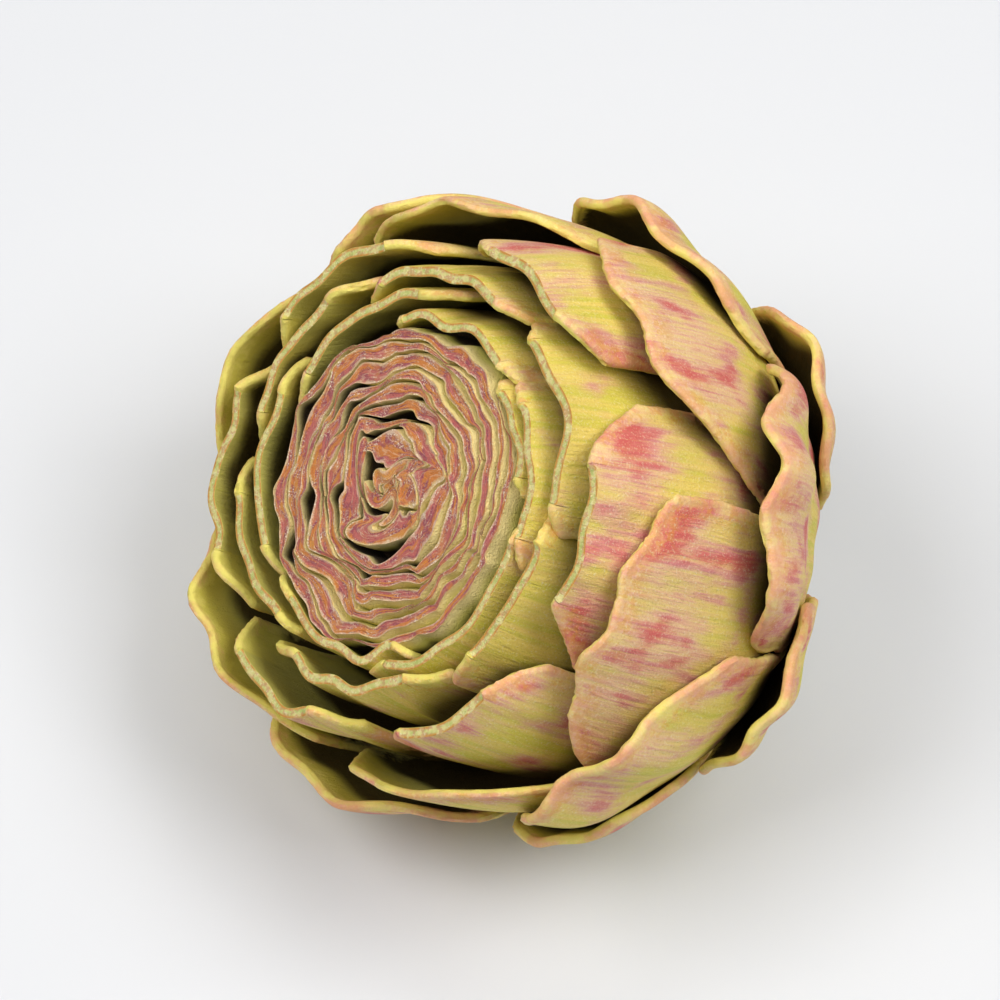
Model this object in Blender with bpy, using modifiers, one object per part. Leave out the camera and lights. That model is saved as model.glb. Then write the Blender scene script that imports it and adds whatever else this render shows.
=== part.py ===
"""Artichoke head with its top sliced off, leaning on its own leaves and stem.

Every leaf follows one onion-like shell: an ellipse turned about the head's axis, moved
in or out by the leaf's layer. Lengths in the tables are millimetres and angles are
degrees; the meshes are in metres. Azimuth runs round the head's axis, and height runs
along it from the middle of the head to the sliced top.
"""

import math
from typing import NamedTuple

import bmesh
import bpy
import numpy as np
from mathutils import Euler, Matrix, Vector

MM = 0.001

# The shell of layer 0: half axes of the ellipse below and above the widest ring
BELLY_RADIUS = 45.5
BELLY_HEIGHT = -2.0
LOWER_HALF_AXIS = 41.0
UPPER_HALF_AXIS = 74.0
CUT_HEIGHT = 27.5
CUT_MARGIN = 2.6

# How the head lies: lean from upright, compass direction of the lean, spin about the axis
LEAN = 45.0
LEAN_TOWARD = 200.0
SPIN = 136.5
HEAD_CENTRE = (0.2, -0.3, 52.6)

# Boxes that make the slice and the flats it rests on
CUTTER_WIDTH = 300.0
CUTTER_DEPTH = 40.0

# Leaf roots sit round the side of the receptacle
ROOT_RADIUS = 18.5
RECEPTACLE_RADIUS = 17.4
RECEPTACLE_TOP = -28.2
RECEPTACLE_FOOT = -47.0
RECEPTACLE_CHAMFER = 1.5
STEM_RADIUS = 10.5
STEM_END = -64.4
STEM_FILLET = 3.5

# Layers of whole leaves, outside the cut rings
SHOULDER_LAYER = 3.75
SIDE_LAYER = 6.3
BASE_LAYER = 8.2
SHOULDER_TILT = 0.95
WHOLE_THICKNESS = 1.2
RESTING_THICKNESS = 2.0

# The bud of small inner leaves
BUD_RADIUS = 25.4
BUD_SHIFT = -1.5
BUD_LEAVES = 18
BUD_LEAF_HALF_ANGLE = 84.0
BUD_FILL = 0.72
BUD_BLADE_FOOT = 15.5
BUD_BODY_TOP = 18.0
BUD_TWIST = 137.5
BUD_CLOSING_ANGLE = 14.0
BUD_EDGE_TAPER = 0.45
BUD_WALL_SLOPE = 0.004
BUD_CRINKLES = ((5.0, 0.0, 0.4), (7.0, 60.0, 0.2))
BUD_CRINKLE_RADIUS = 8.0
BUD_FOOT_STEP = (2.5, 1.2)

# How finely the meshes are cut
WHOLE_COLUMNS = 8
WHOLE_ROWS = 6
BLADE_COLUMNS = 14
TURNED_SEGMENTS = 24
BUD_SEGMENTS = 32
BUD_SIDE_POINTS = 9
HALVINGS = 40

# How every leaf widens from its root and rounds off at its rim
RIM_WAVES = 3.0
TIP_SQUARENESS = 2.6
ROOT_NARROWING = 0.74
WIDEST_AT = 0.55
FLARE_ROUNDNESS = 1.5
FLARE_BREADTH = 2.0
OPEN_FLARE_BREADTH = 4.0
BASE_DROOP = 0.26
SHOULDER_CURL_FROM = 0.72
SIDE_CURL_FROM = 0.62


class Leaf(NamedTuple):
    """One leaf: where it stands round the head, its layer across its width, and its tip."""
    name: str
    centre: float
    half_angle: float
    start: float
    middle: float
    end: float
    top: float = CUT_HEIGHT + CUT_MARGIN
    droop: float = 0.0
    flare: float = 0.0
    wave: float = 0.0
    thickness: float = 1.3
    curl_from: float = 0.5
    skew: float = 0.0
    breadth: float = FLARE_BREADTH
    columns: int = 6
    rows: int = 5


class Finish(NamedTuple):
    """A plain surface colour with its roughness."""
    name: str
    colour: tuple
    roughness: float


CUT_GREEN = Finish("cut_leaf_green", (0.46, 0.47, 0.15), 0.7)
BLUSH = Finish("blushed_leaf", (0.62, 0.45, 0.26), 0.6)
BUD_PINK = Finish("bud_rose", (0.50, 0.24, 0.18), 0.75)
STEM_GREEN = Finish("stem_green", (0.40, 0.42, 0.17), 0.7)


def shell_point(angle, layer):
    """Radius and height at an ellipse angle, moved out by the layer along the normal."""
    half_axis = np.where(angle < 0.0, LOWER_HALF_AXIS, UPPER_HALF_AXIS)
    normal_out = half_axis * np.cos(angle)
    normal_up = BELLY_RADIUS * np.sin(angle)
    length = np.hypot(normal_out, normal_up)
    radius = BELLY_RADIUS * np.cos(angle) + layer * normal_out / length
    height = BELLY_HEIGHT + half_axis * np.sin(angle) + layer * normal_up / length
    return radius, height


def bisect(test, low, high):
    """Angle between low and high where the rising test passes zero, for whole arrays."""
    for _ in range(HALVINGS):
        middle = (low + high) / 2.0
        below = test(middle) < 0.0
        low = np.where(below, middle, low)
        high = np.where(below, high, middle)
    return (low + high) / 2.0


def angle_at_height(height, layer):
    """Ellipse angle at which a layer reaches a height."""
    lowest = np.full_like(layer, math.radians(-85.0))
    highest = np.full_like(layer, math.radians(60.0))
    return bisect(lambda angle: shell_point(angle, layer)[1] - height, lowest, highest)


def angle_at_root(layer):
    """Ellipse angle at which a layer meets the receptacle's side."""
    lowest = np.full_like(layer, math.radians(-88.0))
    highest = np.zeros_like(layer)
    return bisect(lambda angle: shell_point(angle, layer)[0] - ROOT_RADIUS, lowest, highest)


def layer_at_rim(radius):
    """Layer whose shell crosses the sliced top at a radius."""
    low, high = -30.0, 15.0
    for _ in range(HALVINGS):
        middle = (low + high) / 2.0
        layer = np.array([middle])
        rim_radius = shell_point(angle_at_height(CUT_HEIGHT, layer), layer)[0][0]
        low, high = (middle, high) if rim_radius < radius else (low, middle)
    return (low + high) / 2.0


def cut_leaf(name, first, last, start, middle, end, droop, thickness=1.3):
    """A leaf trimmed by the slice, given by its first and last azimuth and its rim radii."""
    layers = [layer_at_rim(radius) for radius in (start, middle, end)]
    return Leaf(name, (first + last) / 2.0, (last - first) / 2.0, *layers, droop=droop,
                thickness=thickness)


def shoulder_leaf(name, centre, half_angle, top, droop, skew, flare, wave):
    """A whole leaf beside the cut rings, one edge tucked under its neighbour."""
    return Leaf(name, centre, half_angle, SHOULDER_LAYER - SHOULDER_TILT, SHOULDER_LAYER,
                SHOULDER_LAYER + SHOULDER_TILT, top, droop, flare, wave, WHOLE_THICKNESS,
                curl_from=SHOULDER_CURL_FROM, skew=skew, columns=WHOLE_COLUMNS, rows=WHOLE_ROWS)


def side_leaf(name, centre, half_angle, top, droop, flare, wave, breadth=FLARE_BREADTH):
    """A whole leaf on the head's side, cupped away from it at the rim."""
    return Leaf(name, centre, half_angle, SIDE_LAYER, SIDE_LAYER, SIDE_LAYER, top, droop,
                flare, wave, WHOLE_THICKNESS, SIDE_CURL_FROM, breadth=breadth,
                columns=WHOLE_COLUMNS, rows=WHOLE_ROWS)


def base_leaf(name, centre, half_angle, top, flare, wave, thickness=WHOLE_THICKNESS):
    """A short leaf of the lowest row, round the stem."""
    return Leaf(name, centre, half_angle, BASE_LAYER, BASE_LAYER, BASE_LAYER, top, BASE_DROOP,
                flare, wave, thickness, columns=WHOLE_COLUMNS, rows=WHOLE_ROWS)


OUTER_CUT_LEAVES = [
    cut_leaf("outer_cut_leaf_1", -31, 29, 39.0, 42.8, 39.5, 0.22),
    cut_leaf("outer_cut_leaf_2", 40, 88, 39.5, 42.8, 39.5, 0.16),
    cut_leaf("outer_cut_leaf_3", 101, 153, 39.0, 42.8, 40.0, 0.12),
    cut_leaf("outer_cut_leaf_4", 155, 216, 40.0, 42.8, 40.0, 0.12),
    cut_leaf("outer_cut_leaf_5", 219, 266, 41.5, 42.8, 37.5, 0.14),
    cut_leaf("outer_cut_leaf_6", 278, 325, 38.5, 41.4, 38.5, 0.16),
]

MIDDLE_CUT_LEAVES = [
    cut_leaf("middle_cut_leaf_1", -2, 57, 33.8, 36.2, 34.0, 0.1),
    cut_leaf("middle_cut_leaf_2", 60, 121, 34.6, 36.0, 35.0, 0.1),
    cut_leaf("middle_cut_leaf_3", 84, 160, 32.0, 31.8, 30.4, 0.1),
    cut_leaf("middle_cut_leaf_4", 119, 175, 37.4, 37.2, 36.6, 0.1),
    cut_leaf("middle_cut_leaf_5", 150, 215, 33.6, 32.6, 29.6, 0.1),
    cut_leaf("middle_cut_leaf_6", 181, 236, 37.2, 35.6, 31.0, 0.1),
    cut_leaf("middle_cut_leaf_7", 233, 303, 34.6, 33.6, 31.2, 0.1),
    cut_leaf("middle_cut_leaf_8", 305, 361, 32.8, 33.4, 31.9, 0.1),
]

INNER_CUT_LEAVES = [
    cut_leaf("inner_cut_leaf_1", 47, 108, 28.2, 28.6, 27.6, 0.08),
    cut_leaf("inner_cut_leaf_2", -15, 45, 29.4, 29.8, 28.6, 0.08),
    cut_leaf("inner_cut_leaf_3", 219, 290, 28.6, 28.2, 26.4, 0.08, thickness=1.1),
    cut_leaf("inner_cut_leaf_4", 273, 357, 29.5, 29.0, 27.0, 0.08),
    cut_leaf("inner_cut_leaf_5", 8, 50, 26.4, 26.6, 25.9, 0.08, thickness=1.0),
]

SHOULDER_LEAVES = [
    shoulder_leaf("shoulder_leaf_1", 40, 29.5, 17, 0.5, 0.3, 0.8, 0.2),
    shoulder_leaf("shoulder_leaf_2", 102, 31, 21, 0.22, 0.0, 2.2, 0.5),
    shoulder_leaf("shoulder_leaf_3", 161, 30, 26, 0.2, 0.0, 2.4, 0.5),
    shoulder_leaf("shoulder_leaf_4", 216, 28, 26, 0.2, 0.0, 3.2, 0.6),
    shoulder_leaf("shoulder_leaf_5", 277, 28, 18, 0.24, 0.0, 1.0, 0.5),
    shoulder_leaf("shoulder_leaf_6", 332, 37, 22, 0.75, 0.35, 0.8, 0.3),
]

SIDE_LEAVES = [
    side_leaf("side_leaf_1", 12, 27, 2, 0.3, 6.8, 1.7, OPEN_FLARE_BREADTH),
    side_leaf("side_leaf_2", 72.5, 28.5, 2, 0.3, 3.8, 1.0),
    side_leaf("side_leaf_3", 127, 25, 15, 0.34, 3.4, 0.6, OPEN_FLARE_BREADTH),
    side_leaf("side_leaf_4", 186, 27, 15, 0.34, 3.4, 0.6),
    side_leaf("side_leaf_5", 243, 27, 11, 0.36, 5.4, 1.0),
    side_leaf("side_leaf_6", 314, 28, 10, 0.28, 2.6, 1.1, OPEN_FLARE_BREADTH),
]

BASE_LEAVES = [
    base_leaf("base_leaf_1", 42, 22, -20, 4.2, 0.4),
    base_leaf("base_leaf_2", 98, 22, -16, 2.0, 0.4),
    base_leaf("base_leaf_3", 150, 24, -14, 2.0, 0.4),
    base_leaf("base_leaf_4", 201, 20, -14, 1.0, 0.2, RESTING_THICKNESS),
    base_leaf("base_leaf_5", 246, 20, -14, 1.0, 0.2, RESTING_THICKNESS),
    base_leaf("base_leaf_6", 289, 20, -10, 2.0, 0.4),
    base_leaf("base_leaf_7", 334, 20, -14, 5.0, 0.8),
]


def smooth_rise(value):
    """Rise from 0 to 1 with level ends."""
    clipped = np.clip(value, 0.0, 1.0)
    return clipped * clipped * (3.0 - 2.0 * clipped)


def leaf_surface(leaf, across, along):
    """Middle surface of a leaf for across in -1..1 and along in 0..1, root to tip.

    The leaf's layer is the parabola through its start, middle and end. It runs along the
    shell from the root to a rim that drops on both sides of its tip, and near the rim it
    flares out along the shell's normal, with a wave along the edge.
    """
    bend = (leaf.start + leaf.end) / 2.0 - leaf.middle
    lean = (leaf.end - leaf.start) / 2.0
    layer = leaf.middle + lean * across + bend * across ** 2
    root = angle_at_root(layer)
    root_height = shell_point(root, layer)[1]
    reach = np.abs(across - leaf.skew) / (1.0 + abs(leaf.skew))
    drop = leaf.droop * reach ** TIP_SQUARENESS
    rim_height = leaf.top - drop * (leaf.top - root_height)
    rim = angle_at_height(rim_height, layer)
    angle = root + (rim - root) * along
    curl = smooth_rise((along - leaf.curl_from) / (1.0 - leaf.curl_from))
    ripple = np.sin(math.pi * RIM_WAVES * across + math.radians(leaf.centre))
    middle = 1.0 - np.abs(across) ** leaf.breadth
    lift = (leaf.flare * middle ** FLARE_ROUNDNESS + leaf.wave * ripple * middle) * curl
    radius, height = shell_point(angle, layer + lift)
    narrowing = np.sin(math.pi / 2.0 * np.clip(along / WIDEST_AT, 0.0, 1.0))
    spread = ROOT_NARROWING + (1.0 - ROOT_NARROWING) * narrowing
    azimuth = np.radians(leaf.centre + leaf.half_angle * spread * across)
    return np.stack([radius * np.cos(azimuth), radius * np.sin(azimuth), height], axis=-1)


def bud_slots(azimuth):
    """Share of the bud's radius taken by each inner leaf along each azimuth, in order."""
    centres = np.arange(BUD_LEAVES) * BUD_TWIST
    offset = (azimuth[None, :] - centres[:, None] + 180.0) % 360.0 - 180.0
    beyond = BUD_LEAF_HALF_ANGLE + BUD_CLOSING_ANGLE - np.abs(offset)
    slots = smooth_rise(beyond / BUD_CLOSING_ANGLE)
    return slots / slots.sum(axis=0)


def bud_leaf_line(number, across):
    """Azimuth, middle radius and thickness of one inner leaf of the bud, edge to edge."""
    azimuth = number * BUD_TWIST + BUD_LEAF_HALF_ANGLE * across
    slots = bud_slots(azimuth)
    inside = slots[:number].sum(axis=0)
    radius = BUD_RADIUS * (inside + slots[number] / 2.0)
    thickness = BUD_RADIUS * slots[number] * BUD_FILL * (1.0 - BUD_EDGE_TAPER * across ** 4)
    crinkle = sum(depth * np.sin(np.radians(folds * azimuth + phase))
                  for folds, phase, depth in BUD_CRINKLES)
    return azimuth, radius + crinkle * np.minimum(radius / BUD_CRINKLE_RADIUS, 1.0), thickness


def principled(finish):
    """Make a material from a finish."""
    material = bpy.data.materials.new(finish.name)
    material.use_nodes = True
    shader = material.node_tree.nodes["Principled BSDF"]
    shader.inputs["Base Color"].default_value = (*finish.colour, 1.0)
    shader.inputs["Roughness"].default_value = finish.roughness
    shader.inputs["Metallic"].default_value = 0.0
    material.diffuse_color = (*finish.colour, 1.0)
    return material


def add_object(name, mesh, collection, parent, finish=None):
    """Put a mesh into a collection as a child of the head's axis."""
    piece = bpy.data.objects.new(name, mesh)
    collection.objects.link(piece)
    piece.parent = parent
    if finish is not None:
        mesh.materials.append(principled(finish._replace(name=name + "_" + finish.name)))
    return piece


def grid_mesh(name, columns, rows):
    """A flat triangulated grid over -1..1 both ways, ready to be bent."""
    sheet = bmesh.new()
    bmesh.ops.create_grid(sheet, x_segments=columns, y_segments=rows, size=1.0)
    bmesh.ops.triangulate(sheet, faces=sheet.faces[:])
    mesh = bpy.data.meshes.new(name)
    sheet.to_mesh(mesh)
    sheet.free()
    return mesh


def mesh_points(mesh):
    """Vertex places of a mesh as an array."""
    places = np.empty(len(mesh.vertices) * 3)
    mesh.vertices.foreach_get("co", places)
    return places.reshape(-1, 3)


def move_points(mesh, places):
    """Give a mesh new vertex places, in millimetres."""
    mesh.vertices.foreach_set("co", (places * MM).ravel())
    mesh.update()


def add_boolean(piece, label, cutter):
    """Cut a piece with a cutter."""
    cut = piece.modifiers.new(label, "BOOLEAN")
    cut.operation = "DIFFERENCE"
    cut.solver = "EXACT"
    cut.object = cutter


def build_leaf(leaf, collection, axis, finish, knife, table):
    """Bend a grid onto the leaf's shell, thicken it, and trim it."""
    mesh = grid_mesh(leaf.name, leaf.columns, leaf.rows)
    flat = mesh_points(mesh)
    move_points(mesh, leaf_surface(leaf, flat[:, 0], (flat[:, 1] + 1.0) / 2.0))
    mesh.shade_smooth()
    piece = add_object(leaf.name, mesh, collection, axis, finish)
    blade = piece.modifiers.new("Blade", "SOLIDIFY")
    blade.thickness = leaf.thickness * MM
    blade.offset = 0.0
    if leaf.top > CUT_HEIGHT:
        add_boolean(piece, "Slice", knife)
    if table is not None:
        add_boolean(piece, "Rest", table)
    return piece


def turned_mesh(name, profile, segments):
    """Turn a closed profile of radius and height points about the head's axis."""
    body = bmesh.new()
    points = [body.verts.new((radius * MM, 0.0, height * MM)) for radius, height in profile]
    edges = [body.edges.new(pair) for pair in zip(points, points[1:])]
    bmesh.ops.spin(body, geom=points + edges, cent=(0.0, 0.0, 0.0), axis=(0.0, 0.0, 1.0),
                   angle=2.0 * math.pi, steps=segments, use_merge=True, use_duplicate=False)
    bmesh.ops.remove_doubles(body, verts=body.verts[:], dist=1e-6)
    bmesh.ops.recalc_face_normals(body, faces=body.faces[:])
    mesh = bpy.data.meshes.new(name)
    body.to_mesh(mesh)
    body.free()
    mesh.shade_smooth()
    mesh.set_sharp_from_angle(angle=math.radians(40.0))
    return mesh


def build_receptacle(collection, axis, table):
    """The disc that carries the leaves, drawn in to a short cut stem."""
    fillet = [(STEM_RADIUS + STEM_FILLET * (1.0 - math.sin(math.radians(turn))),
               RECEPTACLE_FOOT - STEM_FILLET * (1.0 - math.cos(math.radians(turn))))
              for turn in (0, 30, 60, 90)]
    profile = [(0.0, RECEPTACLE_TOP), (RECEPTACLE_RADIUS, RECEPTACLE_TOP),
               (RECEPTACLE_RADIUS, RECEPTACLE_FOOT + RECEPTACLE_CHAMFER),
               (RECEPTACLE_RADIUS - RECEPTACLE_CHAMFER, RECEPTACLE_FOOT)]
    profile += fillet
    profile += [(STEM_RADIUS, STEM_END), (0.0, STEM_END)]
    mesh = turned_mesh("receptacle_and_stem", profile, TURNED_SEGMENTS)
    piece = add_object("receptacle_and_stem", mesh, collection, axis, STEM_GREEN)
    add_boolean(piece, "Rest", table)
    return piece


def bud_profile():
    """Half outline of the bud's solid heart, from its foot to its top."""
    layer = np.full(BUD_SIDE_POINTS, layer_at_rim(BUD_RADIUS))
    start = angle_at_root(layer)[0]
    finish = angle_at_height(BUD_BODY_TOP, layer)[0]
    radius, height = shell_point(np.linspace(start, finish, BUD_SIDE_POINTS), layer)
    side = [(float(r), float(h)) for r, h in zip(radius, height)]
    foot = (side[0][0] - BUD_FOOT_STEP[0], side[0][1] - BUD_FOOT_STEP[1])
    return [(0.0, foot[1]), foot] + side + [(0.0, BUD_BODY_TOP)]


def build_bud_blade(number, collection, axis):
    """One inner leaf of the bud as a thick bent blade standing out of the bud's heart."""
    mesh = grid_mesh("bud_blade_%02d" % number, BLADE_COLUMNS, 1)
    flat = mesh_points(mesh)
    azimuth, radius, thickness = bud_leaf_line(number, flat[:, 0])
    height = np.where(flat[:, 1] > 0.0, CUT_HEIGHT, BUD_BLADE_FOOT)
    swell = 1.0 + BUD_WALL_SLOPE * (CUT_HEIGHT - height)
    turn = np.radians(azimuth)
    places = np.stack([radius * swell * np.cos(turn) + BUD_SHIFT,
                       radius * swell * np.sin(turn), height], axis=-1)
    move_points(mesh, places)
    piece = add_object(mesh.name, mesh, collection, axis)
    weights = piece.vertex_groups.new(name="thickness")
    widest = float(thickness.max())
    for index, amount in enumerate(thickness):
        weights.add([index], float(amount) / widest, "REPLACE")
    blade = piece.modifiers.new("Blade", "SOLIDIFY")
    blade.thickness = widest * MM
    blade.offset = 0.0
    blade.vertex_group = "thickness"
    return piece


def fuse_collection(piece, collection):
    """Join a collection's objects to a piece for good, then remove them."""
    union = piece.modifiers.new("Fuse", "BOOLEAN")
    union.operation = "UNION"
    union.solver = "MANIFOLD"
    union.operand_type = "COLLECTION"
    union.collection = collection
    evaluated = piece.evaluated_get(bpy.context.evaluated_depsgraph_get())
    fused = bpy.data.meshes.new_from_object(evaluated)
    piece.modifiers.remove(union)
    old_mesh = piece.data
    piece.data = fused
    bpy.data.meshes.remove(old_mesh)
    for helper in list(collection.objects):
        bpy.data.objects.remove(helper, do_unlink=True)
    bpy.data.collections.remove(collection)


def build_bud(collection, axis):
    """The tight bud: nested inner leaf blades standing out of a smaller solid heart."""
    blades = bpy.data.collections.new("bud_blades")
    bpy.context.scene.collection.children.link(blades)
    for number in range(BUD_LEAVES):
        build_bud_blade(number, blades, axis)
    mesh = turned_mesh("bud_of_inner_leaves", bud_profile(), BUD_SEGMENTS)
    mesh.transform(Matrix.Translation(Vector((BUD_SHIFT * MM, 0.0, 0.0))))
    piece = add_object("bud_of_inner_leaves", mesh, collection, axis)
    fuse_collection(piece, blades)
    piece.data.materials.clear()
    piece.data.materials.append(principled(BUD_PINK))
    return piece


def add_cutter(name, centre, collection, parent=None):
    """A box that only cuts: hidden in renders and drawn as wire."""
    block = bmesh.new()
    bmesh.ops.create_cube(block, size=1.0)
    size = Vector((CUTTER_WIDTH, CUTTER_WIDTH, CUTTER_DEPTH)) * MM
    bmesh.ops.scale(block, vec=size, verts=block.verts[:])
    bmesh.ops.translate(block, vec=Vector(centre) * MM, verts=block.verts[:])
    mesh = bpy.data.meshes.new(name)
    block.to_mesh(mesh)
    block.free()
    cutter = bpy.data.objects.new(name, mesh)
    collection.objects.link(cutter)
    cutter.parent = parent
    cutter.hide_render = True
    cutter.display_type = "WIRE"
    return cutter


def head_pose():
    """Turn and place the head's axis in the world."""
    spin = Euler((0.0, 0.0, math.radians(SPIN))).to_matrix()
    lean = Euler((0.0, math.radians(LEAN), 0.0)).to_matrix()
    toward = Euler((0.0, 0.0, math.radians(LEAN_TOWARD))).to_matrix()
    place = Matrix.Translation(Vector(HEAD_CENTRE) * MM)
    return place @ (toward @ lean @ spin).to_4x4()


def main():
    """Empty the scene and build the artichoke."""
    for old in list(bpy.data.objects):
        bpy.data.objects.remove(old, do_unlink=True)
    head = bpy.data.collections.new("artichoke")
    cutters = bpy.data.collections.new("cutters")
    bpy.context.scene.collection.children.link(head)
    bpy.context.scene.collection.children.link(cutters)
    axis = bpy.data.objects.new("head_axis", None)
    head.objects.link(axis)
    axis.matrix_world = head_pose()
    above_cut = (0.0, 0.0, CUT_HEIGHT + CUTTER_DEPTH / 2.0)
    below_floor = (0.0, 0.0, -CUTTER_DEPTH / 2.0)
    knife = add_cutter("knife", above_cut, cutters, axis)
    table = add_cutter("table", below_floor, cutters)
    build_receptacle(head, axis, table)
    bpy.context.view_layer.update()
    build_bud(head, axis)
    for leaf in OUTER_CUT_LEAVES + MIDDLE_CUT_LEAVES + INNER_CUT_LEAVES:
        build_leaf(leaf, head, axis, CUT_GREEN, knife, None)
    for leaf in SHOULDER_LEAVES + SIDE_LEAVES:
        build_leaf(leaf, head, axis, BLUSH, knife, None)
    for leaf in BASE_LEAVES:
        build_leaf(leaf, head, axis, BLUSH, knife, table)


main()
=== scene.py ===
"""Looks of the sliced artichoke head: finer leaves, a crinkled bud, finishes, light, camera.

Leaves repeat the CAD's rule: patches of one onion-like shell, an ellipse turned about the
head's axis. Lengths in the classes are millimetres and angles are degrees; finished meshes
are in metres, in the CAD's frame. Azimuth runs round the head's axis and height along it.
"""

import logging
import math
from dataclasses import dataclass, field
from enum import Enum
from typing import Callable, Optional, Union

import bpy
import numpy as np
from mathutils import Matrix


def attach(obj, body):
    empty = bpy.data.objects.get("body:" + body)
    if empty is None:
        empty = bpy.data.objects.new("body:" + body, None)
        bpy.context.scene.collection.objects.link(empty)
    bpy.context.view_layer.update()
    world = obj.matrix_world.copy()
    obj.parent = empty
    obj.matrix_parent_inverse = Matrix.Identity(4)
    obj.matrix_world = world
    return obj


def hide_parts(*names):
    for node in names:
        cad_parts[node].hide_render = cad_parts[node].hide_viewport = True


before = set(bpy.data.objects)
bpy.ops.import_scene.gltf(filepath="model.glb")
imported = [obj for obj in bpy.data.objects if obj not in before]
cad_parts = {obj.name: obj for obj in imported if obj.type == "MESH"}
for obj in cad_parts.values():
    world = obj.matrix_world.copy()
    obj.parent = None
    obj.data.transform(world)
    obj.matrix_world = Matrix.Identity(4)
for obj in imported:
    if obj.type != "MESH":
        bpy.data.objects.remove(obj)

LOG = logging.getLogger("artichoke")
MM = 0.001
CUT_HEIGHT = 27.5
HALVINGS = 40
SHARP_ANGLE = 45.0

Array = np.ndarray
Colour = tuple[float, float, float]


def smooth_rise(value: Array) -> Array:
    """Rise from 0 to 1 with level ends: x squared times (3 - 2x), x kept in 0..1."""
    kept = np.clip(value, 0.0, 1.0)
    return kept * kept * (3.0 - 2.0 * kept)


def wrinkles(first: Array, second: Array, seed: int, wavelength: float, height: float,
             count: int = 7, creased: bool = False) -> Array:
    """Sum of seeded waves over two lengths, sines or creased triangle waves.

    Each wave runs in its own direction with its own phase, and its length is 0.7 to 1.5
    times the given one. The sum is scaled so that it stays near the given height.

    Args:
        first: First length of each point.
        second: Second length of each point, of the same shape.
        seed: Seed of the waves' directions, lengths and phases.
        wavelength: Middle wavelength.
        height: Height of the sum.
        count: Number of waves.
        creased: Whether the waves are triangles instead of sines.

    Returns:
        Height at each point.
    """
    draw = np.random.default_rng(seed)
    turn = draw.uniform(0.0, 2.0 * math.pi, count)
    phase = draw.uniform(0.0, 2.0 * math.pi, count)
    pace = 2.0 * math.pi / (wavelength * draw.uniform(0.7, 1.5, count))
    wave = np.sin(first[..., None] * pace * np.cos(turn)
                  + second[..., None] * pace * np.sin(turn) + phase)
    if creased:
        wave = np.arcsin(wave * 0.985) * 2.0 / math.pi
    return wave.sum(axis=-1) * height / math.sqrt(count)


def unit(vectors: Array) -> Array:
    """Scale vectors along the last axis to length 1."""
    length = np.linalg.norm(vectors, axis=-1, keepdims=True)
    return vectors / np.maximum(length, 1e-12)


@dataclass(frozen=True)
class HeadPose:
    """How the head lies on its leaves: lean, its compass direction, spin, and middle."""
    lean: float = 45.0
    lean_toward: float = 200.0
    spin: float = 136.5
    centre: tuple[float, float, float] = (0.2, -0.3, 52.6)

    def to_world(self, points: Array) -> Array:
        """Turn head points in millimetres into world points in metres.

        The spin about the axis comes first, then the lean, then its compass direction.

        Args:
            points: Points along the last axis.

        Returns:
            World points, with those under the floor raised onto it.
        """
        spin, lean, toward = np.radians([self.spin, self.lean, self.lean_toward])
        about_axis = np.array([[math.cos(spin), -math.sin(spin), 0.0],
                               [math.sin(spin), math.cos(spin), 0.0],
                               [0.0, 0.0, 1.0]])
        leaning = np.array([[math.cos(lean), 0.0, math.sin(lean)],
                            [0.0, 1.0, 0.0],
                            [-math.sin(lean), 0.0, math.cos(lean)]])
        turning = np.array([[math.cos(toward), -math.sin(toward), 0.0],
                            [math.sin(toward), math.cos(toward), 0.0],
                            [0.0, 0.0, 1.0]])
        placed = points @ (turning @ leaning @ about_axis).T + np.array(self.centre)
        placed[..., 2] = np.maximum(placed[..., 2], 0.0)
        return placed * MM


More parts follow.
